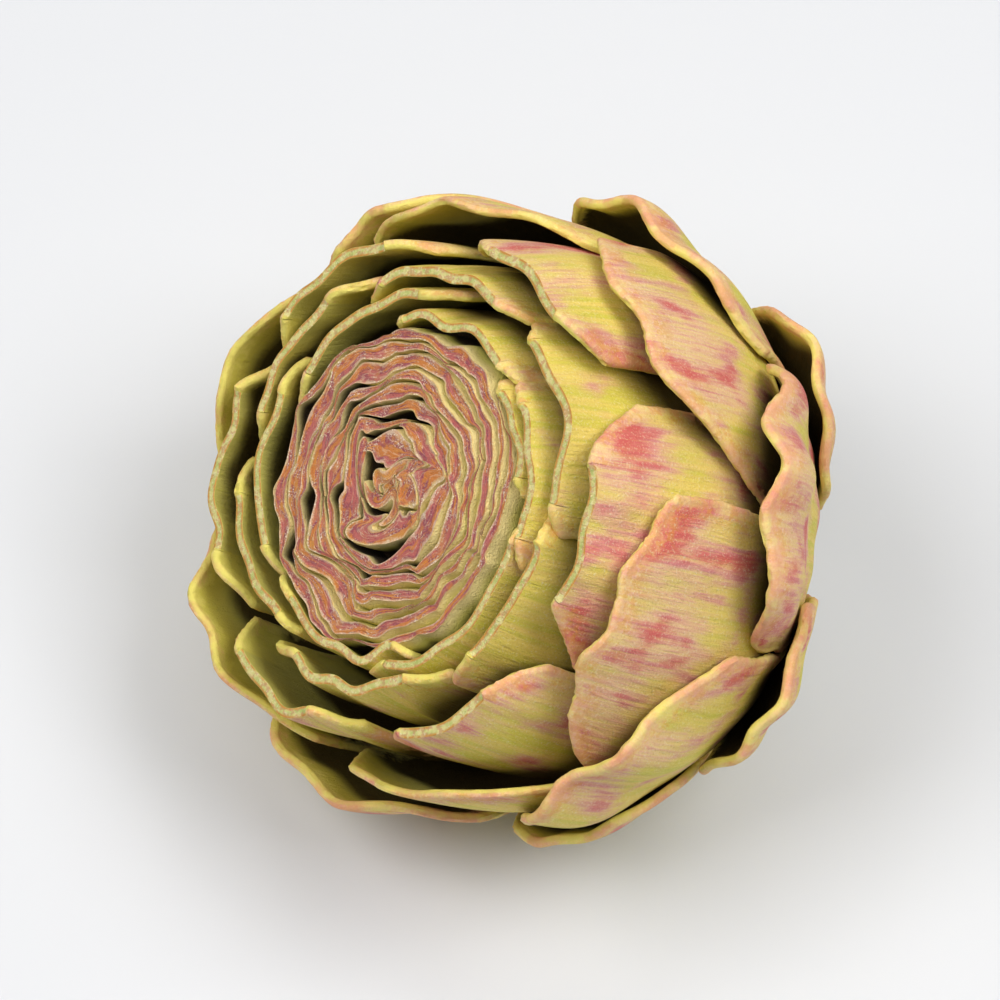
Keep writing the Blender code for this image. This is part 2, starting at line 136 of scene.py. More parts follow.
@dataclass(frozen=True)
class Shell:
    """The onion-like shell that every leaf follows, and its layers."""
    belly_radius: float = 45.5
    belly_height: float = -2.0
    lower_half_axis: float = 41.0
    upper_half_axis: float = 74.0
    root_radius: float = 18.5

    def point(self, angle: Array, layer: Array) -> tuple[Array, Array]:
        """Radius and height at an ellipse angle, moved out by the layer.

        Radius is the belly radius times the cosine and height the half axis times the
        sine of the angle; the layer is added along the ellipse's unit normal.

        Args:
            angle: Ellipse angle in radians, negative below the belly.
            layer: Distance out from layer 0.

        Returns:
            Radius and height.
        """
        half_axis = np.where(angle < 0.0, self.lower_half_axis, self.upper_half_axis)
        out = half_axis * np.cos(angle)
        up = self.belly_radius * np.sin(angle)
        length = np.hypot(out, up)
        radius = self.belly_radius * np.cos(angle) + layer * out / length
        height = self.belly_height + half_axis * np.sin(angle) + layer * up / length
        return radius, height

    def bisect(self, test: Callable[[Array], Array], low: Array, high: Array) -> Array:
        """Halve the range between low and high towards the zero of a rising test.

        Args:
            test: Function that rises through 0.
            low: Lower ends of the ranges.
            high: Upper ends of the ranges.

        Returns:
            Middles of the last ranges.
        """
        for _ in range(HALVINGS):
            middle = (low + high) / 2.0
            below = test(middle) < 0.0
            low = np.where(below, middle, low)
            high = np.where(below, high, middle)
        return (low + high) / 2.0

    def angle_at_height(self, height: Array, layer: Array) -> Array:
        """Ellipse angle at which a layer reaches a height.

        Args:
            height: Heights along the axis.
            layer: Distances out from layer 0.

        Returns:
            Angles in radians.
        """
        low = np.full_like(layer, math.radians(-85.0))
        high = np.full_like(layer, math.radians(60.0))
        return self.bisect(lambda angle: self.point(angle, layer)[1] - height, low, high)

    def angle_at_root(self, layer: Array) -> Array:
        """Ellipse angle at which a layer meets the receptacle's side.

        Args:
            layer: Distances out from layer 0.

        Returns:
            Angles in radians.
        """
        low = np.full_like(layer, math.radians(-88.0))
        high = np.zeros_like(layer)
        return self.bisect(lambda angle: self.point(angle, layer)[0] - self.root_radius,
                           low, high)

    def layer_at_rim(self, radius: float) -> float:
        """Layer whose shell crosses the sliced top at a radius.

        Args:
            radius: Radius on the slice.

        Returns:
            Distance out from layer 0.
        """
        def short_of_radius(layer: Array) -> Array:
            """How far a layer's radius on the slice passes the wanted one."""
            return self.point(self.angle_at_height(CUT_HEIGHT, layer), layer)[0] - radius
        found = self.bisect(short_of_radius, np.array([-30.0]), np.array([15.0]))
        return float(found[0])


class Field:
    """A value that varies over a surface: a shader socket with arithmetic."""

    def __init__(self, paint: "Paint", socket: bpy.types.NodeSocket) -> None:
        """Keep the socket and the material that it belongs to."""
        self.paint = paint
        self.socket = socket

    def maths(self, operation: str, first: "Value", second: "Value") -> "Field":
        """Add one Math node and return its result."""
        return self.paint.node("ShaderNodeMath", {"operation": operation},
                               {0: first, 1: second})

    def __add__(self, other: "Value") -> "Field":
        """Sum."""
        return self.maths("ADD", self, other)

    def __radd__(self, other: "Value") -> "Field":
        """Sum with the number first."""
        return self.maths("ADD", other, self)

    def __sub__(self, other: "Value") -> "Field":
        """Difference."""
        return self.maths("SUBTRACT", self, other)

    def __rsub__(self, other: "Value") -> "Field":
        """Difference with the number first."""
        return self.maths("SUBTRACT", other, self)

    def __mul__(self, other: "Value") -> "Field":
        """Product."""
        return self.maths("MULTIPLY", self, other)

    def __rmul__(self, other: "Value") -> "Field":
        """Product with the number first."""
        return self.maths("MULTIPLY", other, self)

    def size(self) -> "Field":
        """Value without its sign."""
        return self.maths("ABSOLUTE", self, 0.0)

    def rise(self, low: float, high: float) -> "Field":
        """Smooth step from 0 at low to 1 at high."""
        return self.paint.node("ShaderNodeMapRange", {"interpolation_type": "SMOOTHSTEP"},
                               {"Value": self, "From Min": low, "From Max": high})


Value = Union[Field, float]
Paintable = Union[Field, Colour]


class Paint:
    """One material under construction: adds nodes and links them."""

    def __init__(self, name: str) -> None:
        """Start a material with its plain surface shader.

        Args:
            name: Name of the material.
        """
        self.material = bpy.data.materials.new(name)
        self.material.use_nodes = True
        self.tree = self.material.node_tree
        self.shader = self.tree.nodes["Principled BSDF"]

    @staticmethod
    def find(sockets: bpy.types.bpy_prop_collection, key: Union[int, str]
             ) -> bpy.types.NodeSocket:
        """Socket by its number, its identifier or its name.

        Args:
            sockets: Inputs or outputs of a node.
            key: Number, identifier or name.

        Returns:
            The socket.
        """
        if isinstance(key, int):
            return sockets[key]
        for socket in sockets:
            if socket.identifier == key:
                return socket
        return sockets[key]

    def feed(self, socket: bpy.types.NodeSocket, value: Union[Field, float, tuple]) -> None:
        """Link a field to a socket, or set a plain value on it.

        Args:
            socket: Input to feed.
            value: Field to link, or number, colour or vector to set.
        """
        if isinstance(value, Field):
            self.tree.links.new(value.socket, socket)
        elif socket.type == "RGBA":
            socket.default_value = (*value, 1.0)
        else:
            socket.default_value = value

    def node(self, kind: str, settings: Optional[dict] = None,
             sockets: Optional[dict] = None, output: Union[int, str] = 0) -> Field:
        """Add a node.

        Args:
            kind: Blender's type name.
            settings: Properties of the node, set before its sockets.
            sockets: Values or links of its inputs.
            output: Output to return.

        Returns:
            The chosen output.
        """
        made = self.tree.nodes.new(kind)
        for key, value in (settings or {}).items():
            setattr(made, key, value)
        for key, value in (sockets or {}).items():
            self.feed(self.find(made.inputs, key), value)
        return Field(self, self.find(made.outputs, output))

    def parts(self, name: str) -> list[Field]:
        """The three numbers of a piece's own attribute."""
        whole = self.node("ShaderNodeAttribute", {"attribute_name": name}, output="Vector")
        return [self.node("ShaderNodeSeparateXYZ", None, {0: whole}, axis)
                for axis in range(3)]

    def vector(self, x: Value, y: Value, z: Value) -> Field:
        """Put three numbers into a vector."""
        return self.node("ShaderNodeCombineXYZ", None, {0: x, 1: y, 2: z})

    def object_place(self) -> Field:
        """The piece's own coordinates, in metres."""
        return self.node("ShaderNodeTexCoord", output="Object")

    def noise(self, place: Field, scale: float = 1.0, detail: float = 2.0,
              roughness: float = 0.5) -> Field:
        """Cloudy noise of about 0.5, at a place."""
        return self.node("ShaderNodeTexNoise", {"noise_dimensions": "3D"},
                         {"Vector": place, "Scale": scale, "Detail": detail,
                          "Roughness": roughness})

    def drawn(self, x: Value, y: Value, z: Value, detail: float = 2.0,
              roughness: float = 0.5) -> Field:
        """Noise over lengths along and across a leaf."""
        return self.noise(self.vector(x, y, z), 1.0, detail, roughness)

    def coats(self, base: Paintable, *coats: tuple[Value, Paintable]) -> Paintable:
        """Lay colours over a base, one after another.

        Args:
            base: Colour underneath.
            coats: Factor and colour of each coat, from the first to the last.

        Returns:
            The blended colour.
        """
        for factor, colour in coats:
            base = self.node("ShaderNodeMix", {"data_type": "RGBA"},
                             {"Factor_Float": factor, "A_Color": base, "B_Color": colour},
                             "Result_Color")
        return base

    def finish(self, colour: Field, roughness: Value, height: Field, depth: float,
               sheen: float) -> bpy.types.Material:
        """Join colour, roughness and relief to the shader.

        Args:
            colour: Surface colour.
            roughness: Surface roughness.
            height: Relief, 0 to 1.
            depth: Depth of the relief in metres.
            sheen: Soft sheen of the fine down, the same all over.

        Returns:
            The finished material.
        """
        relief = self.node("ShaderNodeBump", None,
                           {"Strength": 1.0, "Distance": depth, "Height": height})
        self.feed(self.shader.inputs["Base Color"], colour)
        self.feed(self.shader.inputs["Roughness"], roughness)
        self.feed(self.shader.inputs["Normal"], relief)
        self.shader.inputs["Sheen Weight"].default_value = sheen
        self.shader.inputs["Sheen Roughness"].default_value = 0.6
        self.shader.inputs["Specular IOR Level"].default_value = 0.22
        return self.material


@dataclass(frozen=True)
class LeafFinish:
    """Colours of a leaf's back, inside, margin and sliced face."""
    name: str
    khaki: Colour = (0.88, 0.69, 0.16)
    lime: Colour = (0.66, 0.64, 0.05)
    beige: Colour = (0.92, 0.58, 0.38)
    pink: Colour = (0.80, 0.30, 0.29)
    violet: Colour = (0.52, 0.24, 0.30)
    red: Colour = (0.72, 0.12, 0.10)
    fleck: Colour = (0.36, 0.24, 0.06)
    amber: Colour = (0.78, 0.38, 0.04)
    rim: Colour = (0.92, 0.80, 0.24)
    rim_blush: Colour = (0.88, 0.44, 0.27)
    inside_rim: Colour = (0.76, 0.68, 0.14)
    inside: Colour = (0.66, 0.60, 0.15)
    # painted shade: near-black brown laid on the back under covering rims and deep inside
    painted_shade: Colour = (0.04, 0.024, 0.005)
    cut_pale: Colour = (0.84, 0.76, 0.32)
    cut_green: Colour = (0.55, 0.62, 0.18)
    cut_line: Colour = (0.72, 0.30, 0.05)
    cut_speck: Colour = (0.66, 0.30, 0.16)
    speck_pale: Colour = (0.95, 0.88, 0.60)
    # strength of the painted shade
    shade: float = 0.96

    def material(self) -> bpy.types.Material:
        """Build the leaf material from the piece's own attributes.

        Over a khaki and lime back lie rose washes and fine streaks that run from root to
        tip, stronger near the rim, with red stains where they are strongest. Painted shade
        darkens the back below the rims that cover it, and the inside away from its own rim.
        The sliced face has pale and green flesh with specks, inside an orange outline.

        Returns:
            The leaf's material.
        """
        paint = Paint(self.name)
        across, down, edge = paint.parts("place")
        side, cut, seed = paint.parts("kind")
        # the tone's third number is the strength of the painted shade at each point
        blush, gold, depth = paint.parts("tone")
        drift = seed * 60.0
        streak = paint.drawn(across * 1.5, down * 0.13, drift, 5.0, 0.68)
        stripe = paint.drawn(across * 0.55, down * 0.05, drift + 7.0)
        broad = paint.drawn(across * 0.10, down * 0.07, drift + 13.0)
        patch = paint.drawn(across * 0.16, down * 0.12, drift + 29.0, 3.0)
        mottle = paint.drawn(across * 1.1, down * 0.6, drift + 17.0, 4.0)
        place = paint.object_place()
        grain = paint.noise(place, 2600.0, 3.0, 0.7)
        speck = paint.noise(place, 900.0, 2.0, 0.6)
        bloom = paint.noise(place, 160.0, 3.0, 0.6)
        cloud = paint.noise(place, 520.0, 3.0, 0.65)

        near_rim = 1.0 - edge.rise(0.5, 11.0)
        sun = (blush - 0.32 + near_rim * 0.42 + (broad - 0.5) * 3.2 + (patch - 0.5) * 2.0
               - down * 0.012)
        rosy = sun.rise(-0.1, 0.9)
        fibre = streak.rise(0.42, 0.66)
        wash = (patch + (stripe - 0.5) * 0.5 + (streak - 0.5) * 0.3).rise(0.42, 0.68)
        ember = (sun * 0.6 + (patch - 0.5) * 2.0 + (streak - 0.5) * 0.6).rise(0.35, 1.1)
        gilt = (1.0 - edge.rise(0.6, 4.0)) * (bloom + speck - 0.5).rise(0.46, 0.64)
        # the back's last coat is painted shade under the rims that cover it
        back = paint.coats(
            self.khaki,
            (stripe.rise(0.40, 0.66) * 0.75, self.lime),
            (rosy * 0.8, self.beige),
            (wash * (rosy * 0.9 + 0.05), self.pink),
            (fibre * (rosy * 0.5 + 0.08), self.pink),
            ((1.0 - streak).rise(0.49, 0.68) * 0.4, self.khaki),
            (fibre * wash * rosy * 0.35, self.violet),
            (ember * (rosy * 0.75 + 0.1), self.red),
            (gilt * 0.55, self.amber),
            (grain.rise(0.54, 0.66) * 0.42, self.speck_pale),
            ((1.0 - grain).rise(0.55, 0.70) * 0.3, self.fleck),
            (depth * self.shade, self.painted_shade))
        # the inside turns to painted shade away from its rim, and more where the head leans
        inside = paint.coats(
            self.inside_rim,
            (edge.rise(2.0, 9.0), self.inside),
            (down.rise(8.0, 28.0), self.painted_shade),
            (streak.rise(0.5, 0.7) * 0.25, self.lime),
            (depth * self.shade, self.painted_shade))
        band = 1.0 - (edge + (cloud - 0.5) * 6.0).rise(0.0, 1.5 + gold)
        warm = paint.coats(self.rim, ((bloom + blush * 0.08 + side * 0.04).rise(0.44, 0.68),
                                      self.rim_blush))
        outline = side.size().rise(0.3, 0.8) * cloud.rise(0.34, 0.54)
        flesh = paint.coats(
            self.cut_pale,
            (cloud.rise(0.36, 0.70), self.cut_green),
            (speck.rise(0.50, 0.62) * 0.6, self.cut_speck),
            (grain.rise(0.54, 0.66) * 0.6, self.speck_pale),
            (outline * 0.9, self.cut_line))
        leaf = paint.coats(
            inside,
            (side.rise(-0.25, 0.35), back),
            (band * (0.35 + gold * 0.3), warm),
            (cut.rise(0.35, 0.65), flesh))
        inland = edge.rise(0.2, 2.0)
        relief = (streak * 0.6 + mottle * 0.4) * inland + grain * (0.4 + cut * 0.4)
        return paint.finish(leaf, 0.56 + speck * 0.2, relief, 0.0006, 0.0)


@dataclass(frozen=True)
class BudFinish:
    """Colours of the bud's sliced leaves and of the walls between them."""
    name: str = "bud_flesh_and_walls"
    orange: Colour = (0.68, 0.23, 0.05)
    amber: Colour = (0.74, 0.37, 0.08)
    rose: Colour = (0.58, 0.15, 0.13)
    violet: Colour = (0.34, 0.07, 0.11)
    cream: Colour = (0.84, 0.62, 0.42)
    green: Colour = (0.74, 0.62, 0.26)
    wall: Colour = (0.95, 0.78, 0.34)
    wall_green: Colour = (0.84, 0.78, 0.17)
    # painted shade of the deep walls
    wall_painted_shade: Colour = (0.04, 0.022, 0.006)
    glint: Colour = (0.96, 0.82, 0.64)

    def material(self) -> bpy.types.Material:
        """Build the bud material from the piece's own attributes.

        Each slice is orange and rose flesh with violet and cream threads that wander
        along it, a pale rind, and glints on the threads. The walls go from cream through
        green into dark brown painted shade with depth, sooner in the dark gaps.

        Returns:
            The bud's material.
        """
        paint = Paint(self.name)
        along, down, across = paint.parts("place")
        cut, seed, depth = paint.parts("kind")
        centre = depth.rise(0.0, 1.0)
        # painted shade of the dark gaps, from the negative part of kind's third number
        gap_painted_shade = (0.0 - depth).rise(0.15, 0.7)
        drift = seed * 60.0
        wander = paint.drawn(along * 0.16, drift, 0.0)
        tint = paint.drawn(along * 0.10, drift + 5.0, 0.0, 1.0)
        thread = paint.drawn(across * 1.5, along * 0.16, drift + 21.0)
        strand = paint.drawn(across * 1.9, along * 0.22, drift + 33.0)
        place = paint.object_place()
        grain = paint.noise(place, 2400.0, 3.0, 0.7)
        speck = paint.noise(place, 3300.0, 2.0, 0.6)
        cloud = paint.noise(place, 260.0, 3.0, 0.6)
        smudge = paint.noise(place, 620.0, 3.0, 0.6)

        lane = across * 0.7 + (thread - 0.5) * 7.0 + (tint - 0.5) * 3.0
        seam = (thread - 0.5).size() + (grain - 0.5) * 0.06
        line = (1.0 - seam.rise(0.01, 0.10)) * (1.0 - centre * 0.4) * smudge.rise(0.38, 0.54)
        pale = 1.0 - ((strand - 0.5).size() + (grain - 0.5) * 0.05).rise(0.0, 0.03)
        rind = (across.size() + (smudge - 0.5) * 0.9).rise(0.62, 0.94)
        dusty = line * 0.6 + pale * 0.7 + rind * 0.5
        flesh = paint.coats(
            self.rose,
            (lane.rise(-0.5, 0.5), self.orange),
            ((cloud + centre * 0.25).rise(0.46, 0.68) * 0.6, self.amber),
            (line * 0.9, self.violet),
            (pale * 0.4, self.cream),
            (rind * 0.75, paint.coats(self.cream, (wander.rise(0.42, 0.6), self.green))),
            (speck.rise(0.53, 0.58) * (0.05 + dusty * cloud.rise(0.40, 0.58)), self.glint))
        rust = (1.0 - down.rise(0.0, 0.5)) * (1.0 - grain.rise(0.35, 0.6))
        colour = paint.coats(
            self.wall,
            ((down + (tint - 0.5) * 4.0).rise(0.4, 3.0), self.wall_green),
            # painted shade: walls darken with depth, sooner in the dark gaps
            ((down + gap_painted_shade * 2.6).rise(2.0, 4.8), self.wall_painted_shade),
            (rust * 0.6, self.orange),
            (cut.rise(0.35, 0.65), flesh))
        relief = grain * 0.7 + speck * 0.6 + thread * 1.4 + cloud * 0.4
        return paint.finish(colour, 0.5 + speck * 0.2, relief, 0.0006, 0.04)


@dataclass(frozen=True)
class StemFinish:
    """Colours of the receptacle, the ribbed stem and its pale cut end."""
    name: str = "stem_skin_and_pith"
    skin: Colour = (0.36, 0.40, 0.15)
    skin_pale: Colour = (0.52, 0.52, 0.27)
    pith: Colour = (0.66, 0.62, 0.38)
    ring: Colour = (0.42, 0.40, 0.16)
    bruise: Colour = (0.30, 0.20, 0.08)

    def material(self) -> bpy.types.Material:
        """Build the stem material: lengthwise streaks, and a ringed, browned cut end.

        Returns:
            The stem's material.
        """
        paint = Paint(self.name)
        round_way, down, radius = paint.parts("place")
        end = paint.parts("kind")[0]
        streak = paint.drawn(round_way * 1.3, down * 0.10, 0.0, 4.0, 0.6)
        place = paint.object_place()
        speck = paint.noise(place, 1400.0, 3.0, 0.6)
        cloud = paint.noise(place, 220.0, 3.0, 0.6)
        pith = paint.coats(
            self.pith,
            ((radius + cloud * 1.6).rise(7.2, 8.6) * 0.9, self.ring),
            (cloud.rise(0.52, 0.68) * 0.6, self.bruise))
        colour = paint.coats(
            self.skin,
            (streak.rise(0.4, 0.62), self.skin_pale),
            (speck.rise(0.6, 0.7) * 0.5, self.bruise),
            (end.rise(0.4, 0.6), pith))
        relief = streak * 0.6 + speck * 0.4
        return paint.finish(colour, 0.58 + speck * 0.2, relief, 0.0005, 0.06)


@dataclass(frozen=True)
class FloorFinish:
    """Plain pale floor."""
    name: str = "pale_floor"
    tone: Colour = (0.72, 0.745, 0.79)

    def material(self) -> bpy.types.Material:
        """Build the floor's plain matt material.

        Returns:
            The floor's material.
        """
        paint = Paint(self.name)
        paint.feed(paint.shader.inputs["Base Color"], self.tone)
        paint.feed(paint.shader.inputs["Roughness"], 0.9)
        paint.feed(paint.shader.inputs["Specular IOR Level"], 0.1)
        return paint.material


class Family(Enum):
    """The families of leaves, from the bud outwards."""
    INNER_CUT = "inner_cut_leaf"
    MIDDLE_CUT = "middle_cut_leaf"
    OUTER_CUT = "outer_cut_leaf"
    SHOULDER = "shoulder_leaf"
    SIDE = "side_leaf"
    BASE = "base_leaf"


class Slot(Enum):
    """The record's material slots."""
    CUT_LEAF = "cut_leaf"
    BLUSHED_LEAF = "blushed_leaf"
    BUD = "bud"
    STEM = "stem"


@dataclass(frozen=True)
class Piece:
    """A finished mesh before it goes into Blender."""
    node: str
    points: Array
    faces: list
    attributes: dict
    slot: Slot
    material: bpy.types.Material

    def place(self, pose: HeadPose) -> bpy.types.Object:
        """Put the mesh into the scene in place of its CAD node.

        Args:
            pose: How the head lies.

        Returns:
            The new object, at the origin and unturned.
        """
        name = self.node + "_fine"
        mesh = bpy.data.meshes.new(name)
        mesh.from_pydata(pose.to_world(self.points).tolist(), [], self.faces)
        for label, values in self.attributes.items():
            layer = mesh.attributes.new(label, "FLOAT_VECTOR", "POINT")
            layer.data.foreach_set("vector", np.ascontiguousarray(values, np.float32).ravel())
        mesh.shade_smooth()
        mesh.set_sharp_from_angle(angle=math.radians(SHARP_ANGLE))
        mesh.materials.append(self.material)
        piece = shown(name, mesh)
        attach(piece, "root")
        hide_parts(self.node)
        LOG.info("%s: %d faces", name, len(mesh.polygons))
        return piece


def shown(name: str, data: bpy.types.ID) -> bpy.types.Object:
    """Make an object of a mesh, a light or a camera, and put it into the scene.

    Args:
        name: Name of the object.
        data: Its mesh, light or camera.

    Returns:
        The new object, at the origin and unturned.
    """
    made = bpy.data.objects.new(name, data)
    bpy.context.scene.collection.objects.link(made)
    return made


def grid_faces(columns: int, rows: int, first: int, flip: bool) -> Array:
    """Quads of a grid of points numbered column by column.

    Args:
        columns: Number of faces one way.
        rows: Number of faces the other way.
        first: Number of the grid's first point.
        flip: Whether the faces look the other way.

    Returns:
        Four point numbers for each face.
    """
    column, row = np.meshgrid(np.arange(columns), np.arange(rows), indexing="ij")
    corner = (first + column * (rows + 1) + row).ravel()
    quads = np.stack([corner, corner + rows + 1, corner + rows + 2, corner + 1], axis=1)
    return quads[:, ::-1] if flip else quads


@dataclass
class Leaf:
    """One leaf: its patch of the shell, its rim, and how it is dressed.

    Start, middle and end are layers across the leaf, and top is the rim's height at the
    tip. Droop is the share of that height that the rim loses at the sides, and flare and
    wave lift it off the shell. Scallop, pucker and ragged are heights of the rim's bays,
    the folds and the torn margin. Blush and gold are strengths of the rose and of the
    pale rim. Covers are the leaves outside this one, whose rims shade its back.
    """
    family: Family
    number: int
    centre: float
    half_angle: float
    start: float
    middle: float
    end: float
    top: float
    droop: float
    flare: float = 0.0
    wave: float = 0.0
    thickness: float = 1.3
    rim_thickness: float = 1.45
    curl_from: float = 0.5
    skew: float = 0.0
    pucker: float = 0.16
    scallop: float = 0.5
    ragged: float = 0.16
    blush: float = 0.0
    gold: float = 0.0
    covers: list = field(default_factory=list)
    cover_clear: float = 2.5
    cover_fade: float = 8.0
    cover_end: float = 0.9
    cover_end_fade: float = 0.15
    root_depth: float = 35.0
    shaded_below: float = -1.0
    shaded_left: float = 30.0
    shaded_toward: float = 170.0
    shade_fade: float = 4.5
    shade_wave: float = 0.8
    scallop_length: float = 12.0
    nick_length: float = 3.4
    nick_share: float = 0.16
    fold_length: float = 12.0
    crimp_length: float = 15.0
    crimp_share: float = 1.7
    margin_length: float = 9.0
    margin_share: float = 0.6
    tear_length: float = 1.9
    crimp_fade: float = 6.0
    swell_fade: float = 2.5
    slice_softness: float = 0.5
    columns: int = 72
    rows: int = 40
    rim_rings: int = 6
    tip_squareness: float = 2.6
    root_narrowing: float = 0.74
    widest_at: float = 0.55
    flare_roundness: float = 1.5
    flare_breadth: float = 2.0
    rim_waves: float = 3.0
    slice_step: float = 0.35

    @property
    def name(self) -> str:
        """Name of the CAD node that this leaf stands for."""
        return "%s_%d" % (self.family.value, self.number)

    @property
    def seed(self) -> int:
        """Seed of the leaf's own small irregularities."""
        return 97 * list(Family).index(self.family) + 11 * self.number + 5

    def parameters(self) -> tuple[Array, Array]:
        """Grid parameters: across in -1..1, closer at the edges, along in 0..1."""
        even = np.linspace(-1.0, 1.0, self.columns + 1)
        across = 0.45 * even + 0.55 * np.sin(math.pi / 2.0 * even)
        along = 1.0 - (1.0 - np.linspace(0.0, 1.0, self.rows + 1)) ** 1.35
        return across[:, None], along[None, :]

    def painted_back_shade(self, azimuth: Array, height: Array) -> Array:
        """Painted shade on the back: it rises from 0 to 1 below the rims that cover it."""
        behind = self.cover_height(azimuth) - self.cover_clear - height
        return smooth_rise(behind / self.cover_fade)

    def painted_inside_shade(self, place: Array, azimuth: Array, height: Array) -> Array:
        """Painted shade on the inside, most on the side that the head leans to.

        The level under which it is dark is lowest opposite the shaded side and rises by
        the cube of half of one plus the cosine of the azimuth from that side, with waves.

        Args:
            place: Lengths across the leaf.
            azimuth: Azimuths in radians.
            height: Heights of the points.

        Returns:
            Strength of the painted shade, 0 to 1.
        """
        toward = 0.5 + 0.5 * np.cos(azimuth - math.radians(self.shaded_toward))
        level = np.minimum(self.shaded_below + self.shaded_left * toward ** 3, self.top - 3.0)
        level = level + wrinkles(place, 0.0 * place, self.seed + 6, 9.0, self.shade_wave)
        return smooth_rise((level - height) / self.shade_fade)

    def cover_height(self, azimuth: Array) -> Array:
        """Height of the rims of the leaves outside this one, along each azimuth.

        Each rim drops with its reach as its leaf's rim does, and falls away past the
        leaf's two edges. The highest rim counts.

        Args:
            azimuth: Azimuths in radians.

        Returns:
            The heights in millimetres.
        """
        level = np.full(azimuth.shape, -2.0 * self.root_depth)
        for leaf in self.covers:
            turn = (np.degrees(azimuth) - leaf.centre + 180.0) % 360.0 - 180.0
            across = turn / leaf.half_angle
            reach = np.minimum(np.abs(across - leaf.skew) / (1.0 + abs(leaf.skew)), 1.0)
            drop = leaf.droop * reach ** leaf.tip_squareness * (leaf.top + self.root_depth)
            rim = np.minimum(leaf.top - drop, CUT_HEIGHT)
            past = smooth_rise((np.abs(across) - self.cover_end) / self.cover_end_fade)
            level = np.maximum(level, rim - past * 2.0 * self.root_depth)
        return level

    def middle_sheet(self, shell: Shell) -> tuple[Array, dict]:
        """Middle surface of the leaf and the lengths that its finish needs.

        The layer is the parabola through the leaf's start, middle and end layers. The
        rim drops on both sides of the tip by the droop times reach to a power, and is
        scalloped; where it would pass the slice it stops on it. Along the leaf the
        ellipse angle goes evenly from root to rim. Flare, rim waves and puckers are
        added along the shell's normal.

        Args:
            shell: The shell that the leaf follows.

        Returns:
            Points of shape (columns + 1, rows + 1, 3), and named arrays.
        """
        across, along = self.parameters()
        bend = (self.start + self.end) / 2.0 - self.middle
        lean = (self.end - self.start) / 2.0
        layer = self.middle + lean * across + bend * across ** 2
        root = shell.angle_at_root(layer)
        root_height = shell.point(root, layer)[1]
        reach = np.abs(across - self.skew) / (1.0 + abs(self.skew))
        drop = self.droop * reach ** self.tip_squareness
        rim_height = self.top - drop * (self.top - root_height)
        width = math.radians(self.half_angle) * (shell.belly_radius + self.middle)
        place = across * width
        scallops = wrinkles(place, 0.0 * across, self.seed, self.scallop_length, self.scallop)
        nicks = wrinkles(place, 0.0 * across, self.seed + 5, self.nick_length,
                         self.scallop * self.nick_share)
        rim_height = rim_height + scallops + nicks
        draw = np.random.default_rng(self.seed)
        slice_height = CUT_HEIGHT + draw.uniform(-self.slice_step, self.slice_step)
        cut = smooth_rise((rim_height - slice_height) / self.slice_softness)
        rim_height = np.minimum(rim_height, slice_height)
        rim = shell.angle_at_height(rim_height, layer)
        angle = root + (rim - root) * along
        length = shell.belly_radius * (rim - root)
        down = length * (1.0 - along)
        sides = width * (1.0 - np.abs(across)) + 0.0 * along
        curl = smooth_rise((along - self.curl_from) / (1.0 - self.curl_from))
        ripple = np.sin(math.pi * self.rim_waves * across + math.radians(self.centre))
        inward = 1.0 - np.abs(across) ** self.flare_breadth
        lift = (self.flare * inward ** self.flare_roundness
                + self.wave * ripple * inward) * curl
        place = place + 0.0 * along
        fold = wrinkles(place, down * 0.22, self.seed + 1, self.fold_length, self.pucker)
        crimp = wrinkles(place, down * 0.5, self.seed + 2, self.crimp_length,
                         self.pucker * self.crimp_share)
        near_rim = np.exp(-down / self.crimp_fade)
        lift = lift + (fold + crimp * near_rim * (1.0 - 0.3 * cut)) * smooth_rise(along / 0.3)
        radius, height = shell.point(angle, layer + lift)
        narrowing = np.sin(math.pi / 2.0 * np.clip(along / self.widest_at, 0.0, 1.0))
        spread = self.root_narrowing + (1.0 - self.root_narrowing) * narrowing
        bays = wrinkles(down, np.sign(across) * 40.0 + 0.0 * down, self.seed + 3,
                        self.margin_length, self.scallop * self.margin_share / width)
        margin = 1.0 + bays * np.abs(across) ** 3
        azimuth = np.radians(self.centre + self.half_angle * spread * margin * across)
        points = np.stack([radius * np.cos(azimuth), radius * np.sin(azimuth), height],
                          axis=-1)
        facts = {"across": place, "down": down, "cut": cut[:, 0], "slice": slice_height,
                 "any_edge": np.minimum(down, sides),
                 "edge": np.where(cut > 0.5, sides, np.minimum(down, sides)),
                 # the last two facts are painted shade, of the inside and of the back
                 "depth": self.painted_inside_shade(place[:, :1], azimuth, height),
                 "painted_back_shade": self.painted_back_shade(azimuth, height)}
        return points, facts

    def blade(self, shell: Shell) -> tuple[Array, list, dict]:
        """Thick closed leaf with a rounded margin, or a flat one where it is sliced.

        The outer and inner sheets lie half a thickness either side of the middle one,
        along its normal. Round the free border, rings go over a half circle from one
        sheet to the other; on the slice the half circle is flattened onto its plane.

        Args:
            shell: The shell that the leaf follows.

        Returns:
            Points, faces and the attributes of the points.
        """
        middle, facts = self.middle_sheet(shell)
        along_s = np.gradient(middle, axis=0)
        along_t = np.gradient(middle, axis=1)
        normal = unit(np.cross(along_s, along_t))
        swell = np.exp(-facts["any_edge"] / self.swell_fade)
        half = (self.thickness + (self.rim_thickness - self.thickness) * swell) / 2.0
        outer = middle + normal * half[..., None]
        inner = middle - normal * half[..., None]
        uphill = unit(along_t[:, -1])
        cut = facts["cut"]
        for sheet in (outer, inner):
            gap = (facts["slice"] - sheet[:, -1, 2]) * cut
            sheet[:, -1] += uphill * (gap / np.maximum(uphill[:, 2], 0.2))[:, None]

